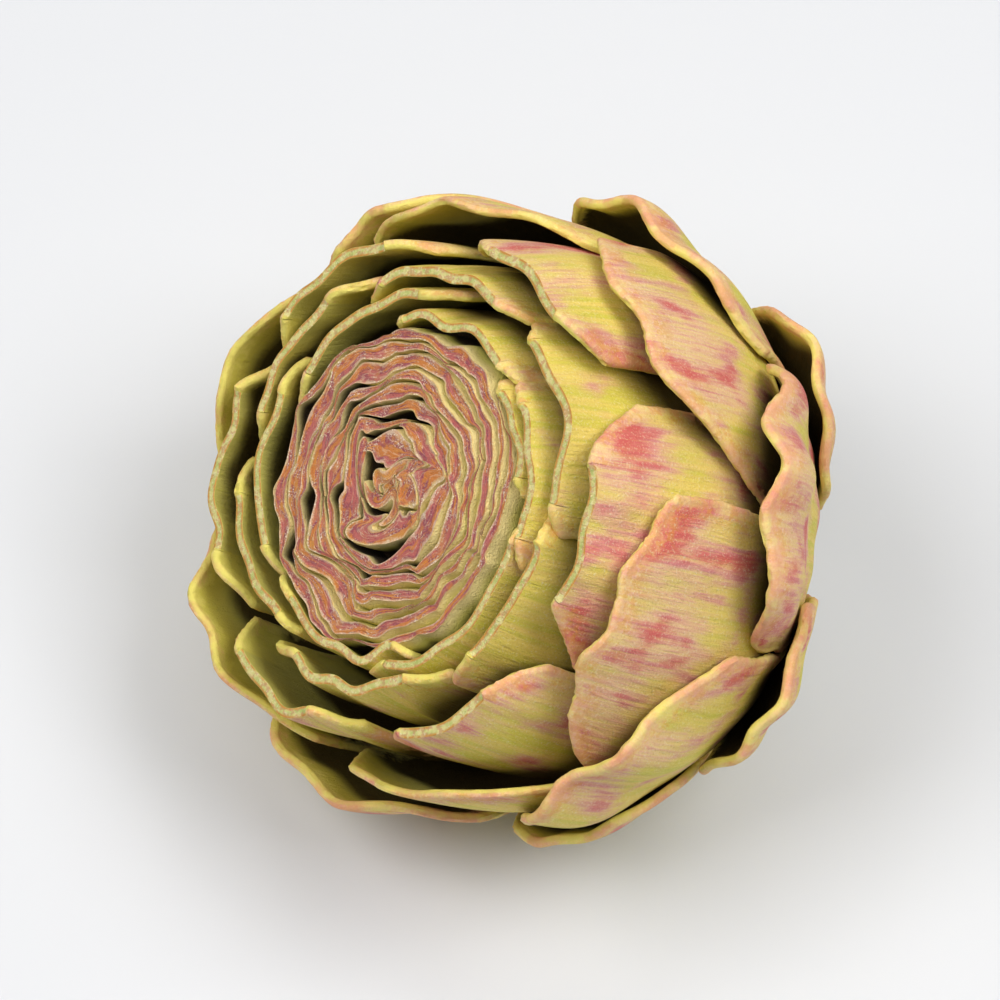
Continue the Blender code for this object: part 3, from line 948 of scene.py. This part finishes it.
        columns, rows, rings = self.columns, self.rows, self.rim_rings
        column = np.concatenate([np.zeros(rows, int), np.arange(columns + 1),
                                 np.full(rows, columns)])
        row = np.concatenate([np.arange(rows), np.full(columns + 1, rows),
                              np.arange(rows - 1, -1, -1)])
        on_top = np.where(row == rows, cut[column], 0.0)
        path = middle[column, row]
        outward = unit(np.cross(normal[column, row], np.gradient(path, axis=0)))
        turn = np.pi * np.arange(1, rings)[:, None] / rings
        weight = ((1.0 + np.cos(turn)) / 2.0)[..., None]
        bulge = np.sin(turn) * half[column, row] * (1.0 - on_top)
        travel = np.concatenate([[0.0], np.cumsum(np.linalg.norm(np.diff(path, axis=0),
                                                                 axis=1))])
        torn = wrinkles(travel[None, :] + 0.0 * turn, 3.0 * turn + 0.0 * travel,
                        self.seed + 4, self.tear_length, self.ragged)
        torn = torn * np.sin(turn) * (1.0 - 0.6 * on_top)
        ring_points = (outer[column, row] * weight + inner[column, row] * (1.0 - weight)
                       + outward * (bulge + torn)[..., None])

        count = (columns + 1) * (rows + 1)
        outer_path = column * (rows + 1) + row
        steps = len(outer_path)
        lines = np.concatenate([
            outer_path[None, :],
            2 * count + np.arange((rings - 1) * steps).reshape(rings - 1, steps),
            outer_path[None, :] + count])
        strip = np.stack([lines[:-1, :-1], lines[:-1, 1:], lines[1:, 1:], lines[1:, :-1]],
                         axis=-1).reshape(-1, 4)
        roots = np.arange(columns + 1) * (rows + 1)
        foot = np.stack([roots[1:], roots[:-1], roots[:-1] + count, roots[1:] + count],
                        axis=1)
        quads = np.concatenate([grid_faces(columns, rows, 0, False),
                                grid_faces(columns, rows, count, True), strip, foot])
        faces = quads.tolist() + [lines[:, 0].tolist(), lines[::-1, -1].tolist()]
        points = np.concatenate([outer.reshape(-1, 3), inner.reshape(-1, 3),
                                 ring_points.reshape(-1, 3)])
        return points, faces, self.attributes(facts, column, row, turn, on_top)

    def attributes(self, facts: dict, column: Array, row: Array, turn: Array,
                   on_top: Array) -> dict:
        """Attributes that the leaf finish reads.

        Args:
            facts: Named arrays of the middle sheet.
            column: Column of each border point.
            row: Row of each border point.
            turn: Angle of each ring round the border.
            on_top: How far each border point lies on the slice.

        Returns:
            "place" as across, down and edge in millimetres, "kind" as side, cut and
            seed, and "tone" as blush, gold and painted shade.
        """
        sheet = np.stack([facts["across"], facts["down"], facts["edge"]], axis=-1)
        sheet_flat = sheet.reshape(-1, 3)
        border = np.broadcast_to(sheet[column, row], (len(turn), len(column), 3))
        place = np.concatenate([sheet_flat, sheet_flat, border.reshape(-1, 3)])
        seed = np.random.default_rng(self.seed).uniform()
        ring_side = np.broadcast_to(np.cos(turn), (len(turn), len(column))).ravel()
        ring_cut = np.broadcast_to(on_top, (len(turn), len(column))).ravel()
        ones = np.ones(len(sheet_flat))
        side = np.concatenate([ones, -ones, ring_side])
        cut = np.concatenate([0.0 * ones, 0.0 * ones, ring_cut])
        kind = np.stack([side, cut, np.full(len(side), seed)], axis=1)
        # painted shade on the border rings: a quarter of the inside's and the back's
        rim_painted_shade = (facts["depth"] + facts["painted_back_shade"])[column, row] / 4.0
        border_painted_shade = np.broadcast_to(rim_painted_shade, (len(turn), len(column)))
        # painted shade: the back's on the outer sheet, the inside's on the inner sheet
        depth = np.concatenate([facts["painted_back_shade"].ravel(), facts["depth"].ravel(),
                                border_painted_shade.ravel()])
        tone = np.stack([np.full(len(side), self.blush), np.full(len(side), self.gold),
                         depth], axis=1)
        return {"place": place, "kind": kind, "tone": tone}

    def piece(self, shell: Shell, material: bpy.types.Material) -> Piece:
        """Make the leaf's finished piece.

        Args:
            shell: The shell that the leaf follows.
            material: The leaf's finish.

        Returns:
            The piece, in the head's millimetres.
        """
        points, faces, attributes = self.blade(shell)
        cut_families = (Family.INNER_CUT, Family.MIDDLE_CUT, Family.OUTER_CUT)
        slot = Slot.CUT_LEAF if self.family in cut_families else Slot.BLUSHED_LEAF
        return Piece(self.name, points, faces, attributes, slot, material)


@dataclass
class CutRing:
    """A ring of leaves that end on the slice, each given by its rim.

    A row of the table holds first azimuth, last azimuth, the rim's radius at the start,
    middle and end, the droop, and the blush of the leaf's back.
    """
    family: Family
    table: list
    thickness: float = 1.45
    margin: float = 2.6
    scallop: float = 0.45
    pucker: float = 0.42

    def leaves(self, shell: Shell) -> list[Leaf]:
        """Make the ring's leaves.

        Args:
            shell: The shell that they follow.

        Returns:
            One leaf for each row of the table.
        """
        made = []
        for number, row in enumerate(self.table, 1):
            first, last, start, middle, end, droop, blush = row
            layers = [shell.layer_at_rim(radius) for radius in (start, middle, end)]
            made.append(Leaf(self.family, number, (first + last) / 2.0, (last - first) / 2.0,
                             *layers, top=CUT_HEIGHT + self.margin, droop=droop,
                             thickness=self.thickness, rim_thickness=self.thickness + 0.25,
                             scallop=self.scallop, pucker=self.pucker, blush=blush))
        return made


@dataclass
class ShoulderRing:
    """Large whole leaves beside the slice, one edge tucked under the next leaf.

    A row of the table holds azimuth, half angle, top, droop, skew, flare, wave, blush.
    """
    table: list
    layer: float = 3.75
    tilt: float = 0.95

    def leaves(self, shell: Shell) -> list[Leaf]:
        """Make the ring's leaves.

        Args:
            shell: The shell that they follow.

        Returns:
            One leaf for each row of the table.
        """
        made = []
        for number, row in enumerate(self.table, 1):
            centre, half_angle, top, droop, skew, flare, wave, blush = row
            made.append(Leaf(Family.SHOULDER, number, centre, half_angle,
                             self.layer - self.tilt, self.layer, self.layer + self.tilt, top,
                             droop, flare, wave, thickness=1.2, curl_from=0.72, skew=skew,
                             scallop=0.7, pucker=0.26, blush=blush, gold=0.25,
                             columns=96, rows=60))
        return made


@dataclass
class OuterRing:
    """Whole leaves of one layer, cupped away from the head at the rim.

    A row of the table holds azimuth, half angle, top, droop, flare, wave, the power of
    the flare's breadth, blush and thickness.
    """
    family: Family
    layer: float
    table: list
    columns: int = 96
    rows: int = 60
    scallop: float = 0.8
    curl_from: float = 0.62

    def leaves(self, shell: Shell) -> list[Leaf]:
        """Make the ring's leaves.

        Args:
            shell: The shell that they follow.

        Returns:
            One leaf for each row of the table.
        """
        made = []
        for number, row in enumerate(self.table, 1):
            centre, half_angle, top, droop, flare, wave, breadth, blush, thickness = row
            made.append(Leaf(self.family, number, centre, half_angle, self.layer, self.layer,
                             self.layer, top, droop, flare, wave, thickness=thickness,
                             rim_thickness=max(1.7, thickness), scallop=self.scallop,
                             pucker=0.26, blush=blush, gold=0.9, columns=self.columns,
                             rows=self.rows, curl_from=self.curl_from,
                             flare_breadth=breadth))
        return made


@dataclass
class Bud:
    """The tight bud: nested inner leaves that share the radius, on a solid heart."""
    radius: float = 26.4
    shift: float = -1.5
    leaf_count: int = 27
    half_angle: float = 30.0
    closing_angle: float = 50.0
    reach: float = 0.80
    twist: float = 137.5
    fill: float = 0.88
    open_fill: float = 0.46
    open_toward: float = 340.0
    groove_depth: float = 1.2
    open_groove: float = 1.7
    edge_taper: float = 0.1
    wall_slope: float = 0.004
    foot: float = 13.5
    body_top: float = 18.0
    height_step: float = 0.45
    column_pitch: float = 0.42
    wall_rows: int = 9
    flesh_columns: int = 10
    crinkle: float = 1.9
    crinkle_length: float = 13.0
    core_crinkle: float = 1.3
    core_length: float = 8.0
    swirl: float = 1.7
    swirl_radius: float = 7.0
    fine_crinkle: float = 0.4
    fine_length: float = 4.6
    wall_length: float = 13.0
    void_share: float = 0.86
    void_shift: float = 0.42
    gaps: tuple = ((138.0, 20.0, 1.9, 2.4, 1.0), (141.0, 14.0, 1.6, 2.2, 1.0),
                   (196.0, 19.5, 1.5, 2.0, 1.0), (195.0, 14.0, 1.7, 2.0, 1.0),
                   (120.0, 7.5, 1.6, 1.9, 1.0), (182.0, 7.0, 1.4, 1.6, 1.0),
                   (270.0, 9.5, 1.3, 1.5, 1.0), (160.0, 25.0, 0.7, 3.4, 1.0),
                   (93.0, 13.0, 1.2, 4.5, 0.6), (240.0, 10.3, 1.0, 3.0, 0.6),
                   (305.0, 13.5, 1.0, 3.0, 0.6), (215.0, 24.5, 0.9, 2.0, 0.9),
                   (250.0, 15.5, 0.9, 1.8, 0.7))
    pit_depth: float = 10.0
    body_segments: int = 64
    body_side_points: int = 24

    def slots(self, azimuth: Array) -> Array:
        """Share of the radius that each leaf takes along each azimuth.

        Every leaf has a full slot within its half angle of its own centre, closing
        smoothly beyond it; the slots along one azimuth are scaled to sum to 1.

        Args:
            azimuth: Azimuths in degrees.

        Returns:
            Shares of shape (leaves, azimuths).
        """
        number = np.arange(self.leaf_count)
        offset = (azimuth[None, :] - number[:, None] * self.twist + 180.0) % 360.0 - 180.0
        beyond = self.half_angle + self.closing_angle - np.abs(offset)
        weight = 1.25 - 0.35 * number[:, None] / self.leaf_count
        share = smooth_rise(beyond / self.closing_angle) * weight
        return share / share.sum(axis=0)

    def crinkled(self, x: Array, y: Array) -> tuple[Array, Array]:
        """Bend the bud's plan by seeded creases, then wind its middle up like a spiral.

        Long creases are lower near the outside and short ones are the same all over.
        The middle has creases of its own. The winding turns each place by the swirl
        times a hill over the distance from the axis.

        Args:
            x: Plan place along azimuth 0.
            y: Plan place along azimuth 90.

        Returns:
            The bent plan place.
        """
        reach = np.hypot(x, y)
        size = self.crinkle * (1.0 - 0.55 * smooth_rise((reach - 16.0) / 9.0))
        core = self.core_crinkle * np.exp(-(reach / 9.0) ** 2)
        moved = []
        for place, seed in ((x, 41), (y, 42)):
            moved.append(place + size * wrinkles(x, y, seed, self.crinkle_length, 1.0, 5, True)
                         + core * wrinkles(x, y, seed + 6, self.core_length, 1.0, 5, True)
                         + wrinkles(x, y, seed + 2, self.fine_length, self.fine_crinkle, 5,
                                    True))
        turn = self.swirl * np.exp(-(np.hypot(*moved) / self.swirl_radius) ** 2)
        return (moved[0] * np.cos(turn) - moved[1] * np.sin(turn),
                moved[0] * np.sin(turn) + moved[1] * np.cos(turn))

    def looseness(self, radius: Array, azimuth: Array) -> Array:
        """How loosely the leaves stand: 0 in the middle and on the left, 1 where open.

        It rises with the radius, and with the cosine of the azimuth from the open side.

        Args:
            radius: Distances from the bud's axis.
            azimuth: Azimuths in degrees.

        Returns:
            Looseness, 0 to 1.
        """
        outside = smooth_rise((radius - 9.0) / 11.0)
        return outside * (0.5 + 0.5 * np.cos(np.radians(azimuth - self.open_toward)))

    def openness(self, x: Array, y: Array, breadth: float) -> Array:
        """How much of a leaf's thickness is missing at a place, for the dark gaps.

        Each gap is a smooth hill over the plan, with its own azimuth, radius, radial
        size, size round the bud, and strength.

        Args:
            x: Plan place along azimuth 0.
            y: Plan place along azimuth 90.
            breadth: Factor on the gaps' sizes.

        Returns:
            Missing share, 0 to 1.
        """
        total = np.zeros_like(x)
        for azimuth, radius, deep, wide, strength in self.gaps:
            turn = math.radians(azimuth)
            out = x * math.cos(turn) + y * math.sin(turn) - radius
            along = y * math.cos(turn) - x * math.sin(turn)
            spread = (out / deep) ** 2 + (along / wide) ** 2
            total = total + strength * np.exp(-spread / (2.0 * breadth ** 2))
        return np.minimum(total, 1.0)

    def blade(self, number: int) -> tuple[Array, list, dict]:
        """One inner leaf as a closed bent bar with vertical walls and a sliced top.

        Its middle radius is the sum of the slots inside it plus half its own. A closed
        loop goes up the outer wall, in across the slice, down the inner wall and back
        underneath, and is carried along the leaf. The walls spread below the slice until
        they meet the next leaves, so grooves close at the groove depth.

        Args:
            number: Number of the leaf from the middle outwards.

        Returns:
            Points, faces and the attributes of the points.
        """
        span = self.half_angle + self.closing_angle * self.reach
        arc = math.radians(2.0 * span) * self.radius * (number + 3) / (self.leaf_count + 3)
        columns = max(36, int(arc / self.column_pitch))
        offset = np.linspace(-span, span, columns + 1)
        azimuth = number * self.twist + offset
        share = self.slots(azimuth)
        middle = self.radius * (share[:number].sum(axis=0) + share[number] / 2.0)
        slot = self.radius * share[number]
        slot = slot * (1.0 - self.edge_taper * (offset / span) ** 4)
        turn = np.radians(azimuth)
        plan = (middle * np.cos(turn), middle * np.sin(turn))
        open_here = self.openness(*plan, 1.0)
        shadow = self.openness(*plan, 1.7)
        lumps = wrinkles(offset * 0.25, 0.0 * offset, 320 + number, 8.0, 0.08)
        thin = 1.0 - self.void_share * open_here
        loose = self.looseness(middle, azimuth)
        fill = self.fill + (self.open_fill - self.fill) * loose
        middle = middle + slot * (1.0 - thin) * self.void_shift
        thickness = np.maximum(slot * fill * (1.0 + lumps) * thin, 0.16)
        foot_thickness = np.maximum(slot * 0.97 * thin, 0.2)
        draw = np.random.default_rng(300 + number)
        top = (CUT_HEIGHT + draw.uniform(-self.height_step, self.height_step * 0.4)
               + wrinkles(offset * 0.3, 0.0 * offset, 310 + number, 9.0, 0.18))

        wall = 1.0 - np.linspace(1.0, 0.0, self.wall_rows) ** 1.7
        step = np.linspace(1.0, -1.0, self.flesh_columns + 1)
        loop_across = np.concatenate([np.ones(self.wall_rows), step,
                                      -np.ones(self.wall_rows)])
        loop_rise = np.concatenate([wall, np.ones(len(step)), wall[::-1]])
        loop_cut = np.concatenate([np.zeros(self.wall_rows), np.ones(len(step)),
                                   np.zeros(self.wall_rows)])
        height = self.foot + (top[:, None] - self.foot) * loop_rise[None, :]
        groove = self.groove_depth + self.open_groove * loose + self.pit_depth * open_here ** 2
        closing = smooth_rise((top[:, None] - height) / groove[:, None])
        wide = thickness[:, None] * (1.0 - closing) + foot_thickness[:, None] * closing
        radius = middle[:, None] + wide / 2.0 * loop_across[None, :]
        swell = 1.0 + self.wall_slope * (CUT_HEIGHT - height)
        x, y = self.crinkled(radius * np.cos(turn)[:, None], radius * np.sin(turn)[:, None])
        points = np.stack([x * swell + self.shift, y * swell, height], axis=-1)
        hollow = (1.0 - loop_across ** 2) * loop_cut
        points[..., 2] -= 0.16 * hollow * np.minimum(thickness / 2.0, 1.0)[:, None]

        around = len(loop_across)
        corner = np.arange((columns + 1) * around).reshape(columns + 1, around)
        beside = np.roll(corner, -1, axis=1)
        quads = np.stack([corner[:-1], corner[1:], beside[1:], beside[:-1]],
                         axis=-1).reshape(-1, 4)
        faces = quads.tolist() + [corner[0].tolist(), corner[-1, ::-1].tolist()]
        travel = np.radians(offset) * np.maximum(middle, 2.0)
        ones = np.ones_like(radius)
        place = np.stack([travel[:, None] * ones, (1.0 - loop_rise) * self.wall_length * ones,
                          loop_across * ones], axis=-1)
        core = 1.0 - smooth_rise((middle - 3.0) / 5.0)
        # kind's third number: the middle's mark, less the painted shade of the dark gaps
        kind = np.stack([loop_cut * ones, draw.uniform() * ones,
                         (core - shadow)[:, None] * ones], axis=-1)
        return points.reshape(-1, 3), faces, {"place": place.reshape(-1, 3),
                                              "kind": kind.reshape(-1, 3)}

    def heart(self, shell: Shell) -> tuple[Array, list, dict]:
        """Solid heart under the blades: the shell's own curve turned about the axis.

        Args:
            shell: The shell whose inner layer gives the heart's side.

        Returns:
            Points, faces and the attributes of the points.
        """
        layer = np.full(self.body_side_points, shell.layer_at_rim(self.radius))
        start = shell.angle_at_root(layer)[0]
        finish = shell.angle_at_height(self.body_top, layer)[0]
        radius, height = shell.point(np.linspace(start, finish, self.body_side_points),
                                     layer)
        points, faces = turned(radius, height, self.body_segments)
        points[:, 0] += self.shift
        down = np.clip(CUT_HEIGHT - points[:, 2], 0.0, 30.0)
        place = np.stack([points[:, 0], down, 0.0 * down], axis=1)
        return points, faces, {"place": place, "kind": np.zeros_like(points)}

    def piece(self, shell: Shell, material: bpy.types.Material) -> Piece:
        """Gather the heart and all blades into the bud's piece.

        Args:
            shell: The shell under the bud.
            material: The bud's finish.

        Returns:
            The piece, in the head's millimetres.
        """
        shells = [self.heart(shell)]
        shells += [self.blade(number) for number in range(self.leaf_count)]
        points = np.concatenate([part[0] for part in shells])
        faces = []
        first = 0
        for part in shells:
            faces += [[first + point for point in face] for face in part[1]]
            first += len(part[0])
        attributes = {label: np.concatenate([part[2][label] for part in shells])
                      for label in ("place", "kind")}
        return Piece("bud_of_inner_leaves", points, faces, attributes, Slot.BUD, material)


def turned(radius: Array, height: Array, segments: int) -> tuple[Array, list]:
    """Turn a profile about the axis and close both ends with a point on the axis.

    Point (k, j) is at azimuth 2 pi k / segments, with profile radius j and height j.

    Args:
        radius: Profile radii from the foot up.
        height: Profile heights.
        segments: Number of steps round the axis.

    Returns:
        Points and faces, faces outwards.
    """
    turn = 2.0 * np.pi * np.arange(segments) / segments
    ring = np.stack([np.cos(turn)[:, None] * radius, np.sin(turn)[:, None] * radius,
                     np.ones((segments, 1)) * height], axis=-1)
    points = np.concatenate([ring.reshape(-1, 3),
                             [[0.0, 0.0, height[0]], [0.0, 0.0, height[-1]]]])
    side = len(radius)
    corner = np.arange(segments * side).reshape(segments, side)
    beside = np.roll(corner, -1, axis=0)
    quads = np.stack([corner[:, :-1], beside[:, :-1], beside[:, 1:], corner[:, 1:]],
                     axis=-1).reshape(-1, 4)
    foot = np.stack([beside[:, 0], corner[:, 0], np.full(segments, segments * side)], axis=1)
    top = np.stack([corner[:, -1], beside[:, -1], np.full(segments, segments * side + 1)],
                   axis=1)
    return points, quads.tolist() + foot.tolist() + top.tolist()


@dataclass
class Receptacle:
    """The disc that carries the leaves, drawn in to a ribbed stem with a cut end."""
    radius: float = 17.4
    top: float = -28.2
    foot: float = -47.0
    chamfer: float = 1.5
    stem_radius: float = 10.5
    stem_end: float = -64.4
    fillet: float = 3.5
    rib_count: int = 9
    rib_depth: float = 0.32
    segments: int = 144
    end_rounding: float = 0.5

    def profile(self) -> tuple[Array, Array]:
        """Half outline from the cut end up, with a fillet at the stem's top.

        Returns:
            Radii and heights of the profile.
        """
        turn = np.radians(np.linspace(90.0, 0.0, 10))
        round_radius = self.stem_radius + self.fillet * (1.0 - np.sin(turn))
        round_height = self.foot - self.fillet * (1.0 - np.cos(turn))
        stem = np.linspace(self.stem_end + self.end_rounding, self.foot - self.fillet, 14)
        end = np.array([1.5, 3.0, 4.5, 6.0, 7.5, 9.0, self.stem_radius - self.end_rounding])
        radius = np.concatenate([end, np.full(13, self.stem_radius), round_radius,
                                 [self.radius - self.chamfer, self.radius],
                                 np.full(8, self.radius), [self.radius - 1.2, 12.0, 6.0]])
        side = np.linspace(self.foot + 2.0 * self.chamfer, self.top - 1.0, 8)
        height = np.concatenate([np.full(7, self.stem_end), stem[:13], round_height,
                                 [self.foot, self.foot + self.chamfer], side,
                                 np.full(3, self.top)])
        return radius, height

    def piece(self, material: bpy.types.Material) -> Piece:
        """Turn the profile, press the ribs into the stem, and dress it.

        The ribs move each point out by the rib depth times the cosine of the rib count
        times the azimuth, less towards the axis.

        Args:
            material: The stem's finish.

        Returns:
            The piece, in the head's millimetres.
        """
        radius, height = self.profile()
        points, faces = turned(radius, height, self.segments)
        azimuth = np.arctan2(points[:, 1], points[:, 0])
        reach = np.hypot(points[:, 0], points[:, 1])
        rib = self.rib_depth * np.cos(self.rib_count * azimuth + 0.6 * np.sin(azimuth))
        rib = rib * smooth_rise(reach / self.stem_radius)
        scale = (1.0 + rib / np.maximum(reach, 4.0))[:, None]
        points = points * np.concatenate([scale, scale, np.ones_like(scale)], axis=1)
        end = ((points[:, 2] < self.stem_end + 0.1) & (reach < 10.2)).astype(float)
        place = np.stack([azimuth * self.stem_radius, points[:, 2] + 70.0, reach], axis=1)
        kind = np.stack([end, 0.0 * end, 0.0 * end], axis=1)
        return Piece("receptacle_and_stem", points, faces, {"place": place, "kind": kind},
                     Slot.STEM, material)


@dataclass
class Artichoke:
    """The whole head: rings of leaves, the bud and the receptacle."""
    pose: HeadPose
    shell: Shell

    def rings(self) -> list:
        """The rings of leaves with their tables, from the bud outwards.

        Returns:
            The six rings.
        """
        inner = CutRing(Family.INNER_CUT, [
            (47, 108, 28.2, 28.6, 27.6, 0.08, 0.10),
            (-15, 45, 29.4, 29.8, 28.6, 0.08, 0.10),
            (219, 290, 28.6, 28.2, 26.4, 0.08, 0.05),
            (273, 357, 29.5, 29.0, 27.0, 0.08, 0.10),
            (8, 50, 26.4, 26.6, 25.9, 0.08, 0.15)], thickness=1.25)
        middle = CutRing(Family.MIDDLE_CUT, [
            (-2, 57, 33.8, 36.2, 34.0, 0.1, 0.05),
            (60, 121, 34.6, 36.0, 35.0, 0.1, 0.05),
            (84, 160, 32.0, 31.8, 30.4, 0.1, 0.0),
            (119, 175, 37.4, 37.2, 36.6, 0.1, 0.0),
            (150, 215, 33.6, 32.6, 29.6, 0.1, 0.0),
            (181, 236, 37.2, 35.6, 31.0, 0.1, 0.0),
            (233, 303, 34.6, 33.6, 31.2, 0.1, 0.0),
            (305, 361, 32.8, 33.4, 31.9, 0.1, 0.05)])
        outer = CutRing(Family.OUTER_CUT, [
            (-31, 29, 39.0, 42.8, 39.5, 0.22, 0.8),
            (40, 88, 39.5, 42.8, 39.5, 0.16, 0.8),
            (101, 153, 39.0, 42.8, 40.0, 0.12, 0.05),
            (155, 216, 40.0, 42.8, 40.0, 0.12, 0.0),
            (219, 266, 41.5, 42.8, 37.5, 0.14, 0.0),
            (278, 325, 38.5, 41.4, 38.5, 0.16, 0.85)])
        shoulder = ShoulderRing([
            (40, 29.5, 17, 0.5, 0.3, 0.8, 0.2, 0.65),
            (102, 31, 21, 0.22, 0.0, 2.2, 0.5, 0.4),
            (161, 30, 26, 0.2, 0.0, 2.4, 0.5, 0.0),
            (216, 28, 26, 0.2, 0.0, 3.2, 0.6, 0.2),
            (277, 28, 18, 0.24, 0.0, 1.0, 0.5, 0.55),
            (332, 37, 22, 0.75, 0.35, 0.8, 0.3, 0.7)])
        side = OuterRing(Family.SIDE, 6.3, [
            (12, 27, 2, 0.3, 6.8, 1.7, 4, 0.75, 1.2),
            (72.5, 28.5, 2, 0.3, 3.8, 1.0, 2, 0.45, 1.2),
            (127, 25, 15, 0.34, 3.4, 0.6, 4, 0.3, 1.2),
            (186, 27, 15, 0.34, 3.4, 0.6, 2, 0.3, 1.2),
            (243, 27, 11, 0.36, 5.4, 1.0, 2, 0.5, 1.2),
            (314, 28, 10, 0.28, 2.6, 1.1, 4, 0.5, 1.2)])
        base = OuterRing(Family.BASE, 8.2, [
            (42, 22, -20, 0.26, 4.2, 0.4, 2, 0.4, 1.2),
            (98, 22, -16, 0.26, 2.0, 0.4, 2, 0.3, 1.2),
            (150, 24, -14, 0.26, 2.0, 0.4, 2, 0.2, 1.2),
            (201, 20, -14, 0.26, 1.0, 0.2, 2, 0.1, 2.0),
            (246, 20, -14, 0.26, 1.0, 0.2, 2, 0.1, 2.0),
            (289, 20, -10, 0.26, 2.0, 0.4, 2, 0.3, 1.2),
            (334, 20, -14, 0.26, 5.0, 0.8, 2, 0.4, 1.2)], columns=64, rows=36, scallop=0.5,
            curl_from=0.5)
        return [inner, middle, outer, shoulder, side, base]

    def build(self) -> None:
        """Build and place every piece of the head."""
        cut_finish = LeafFinish("sliced_leaf").material()
        blush_finish = LeafFinish("blushed_leaf", inside_rim=(0.66, 0.58, 0.10)).material()
        Receptacle().piece(StemFinish().material()).place(self.pose)
        Bud().piece(self.shell, BudFinish().material()).place(self.pose)
        rings = self.rings()
        leaves = [ring.leaves(self.shell) for ring in rings]
        for place, ring in enumerate(rings):
            finish = cut_finish if isinstance(ring, CutRing) else blush_finish
            covers = sum(leaves[place + 1:], [])
            for leaf in leaves[place]:
                leaf.covers = covers
                leaf.piece(self.shell, finish).place(self.pose)


@dataclass(frozen=True)
class Lamp:
    """A square soft lamp aimed at the head."""
    name: str
    place: tuple[float, float, float]
    size: float
    power: float
    colour: Colour = (1.0, 0.97, 0.93)


@dataclass
class Studio:
    """Pale floor, soft lamps, and the camera at the photograph's angle."""
    target: tuple[float, float, float] = (0.0002, -0.0003, 0.0526)
    elevation: float = 60.0
    view_width: float = 0.1685
    lens: float = 135.0
    sensor: float = 36.0
    shift: tuple[float, float] = (-0.008, 0.013)
    floor_size: float = 6.0
    sky: float = 0.07
    sky_colour: Colour = (0.84, 0.92, 1.0)
    lamps: tuple = (
        Lamp("lamp_left", (-0.62, -0.18, 1.15), 0.7, 9.8),
        Lamp("lamp_right", (0.66, -0.10, 1.15), 0.7, 10.6),
        Lamp("lamp_front", (0.05, -0.6, 1.2), 0.6, 1.6),
        Lamp("lamp_back", (0.1, 0.65, 1.15), 0.8, 3.9))

    def add_floor(self) -> None:
        """A flat square under the head."""
        half = self.floor_size / 2.0
        mesh = bpy.data.meshes.new("floor")
        mesh.from_pydata([(-half, -half, 0.0), (half, -half, 0.0), (half, half, 0.0),
                          (-half, half, 0.0)], [], [(0, 1, 2, 3)])
        mesh.materials.append(FloorFinish().material())
        shown("floor", mesh)

    def add_lamp(self, lamp: Lamp) -> None:
        """Hang one lamp and turn it towards the head.

        Args:
            lamp: The lamp's place, size and power.
        """
        light = bpy.data.lights.new(lamp.name, "AREA")
        light.shape = "SQUARE"
        light.size = lamp.size
        light.energy = lamp.power
        light.color = lamp.colour
        hung = shown(lamp.name, light)
        away = np.array(lamp.place) - np.array(self.target)
        hung.location = lamp.place
        flat = math.hypot(away[0], away[1])
        hung.rotation_euler = (math.atan2(flat, away[2]), 0.0,
                               math.atan2(away[1], away[0]) + math.pi / 2.0)

    def add_camera(self) -> None:
        """The camera looks north and down at the head."""
        lens = bpy.data.cameras.new("camera")
        lens.lens = self.lens
        lens.sensor_width = self.sensor
        lens.shift_x, lens.shift_y = self.shift
        camera = shown("camera", lens)
        distance = self.view_width * self.lens / self.sensor
        rise = math.radians(self.elevation)
        camera.location = (self.target[0], self.target[1] - distance * math.cos(rise),
                           self.target[2] + distance * math.sin(rise))
        camera.rotation_euler = (math.pi / 2.0 - rise, 0.0, 0.0)
        bpy.context.scene.camera = camera

    def build(self) -> None:
        """Set up the floor, the light and the camera."""
        self.add_floor()
        for lamp in self.lamps:
            self.add_lamp(lamp)
        world = bpy.data.worlds.new("studio_air")
        world.use_nodes = True
        air = world.node_tree.nodes["Background"]
        air.inputs["Color"].default_value = (*self.sky_colour, 1.0)
        air.inputs["Strength"].default_value = self.sky
        bpy.context.scene.world = world
        bpy.context.scene.view_settings.view_transform = "Standard"
        self.add_camera()


def main() -> None:
    """Build the head and the studio, and note the sizes."""
    logging.basicConfig(level=logging.INFO, format="%(name)s %(message)s")
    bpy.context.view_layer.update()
    Studio().build()
    Artichoke(HeadPose(), Shell()).build()
    bpy.context.view_layer.update()


if __name__ == "__main__":
    main()
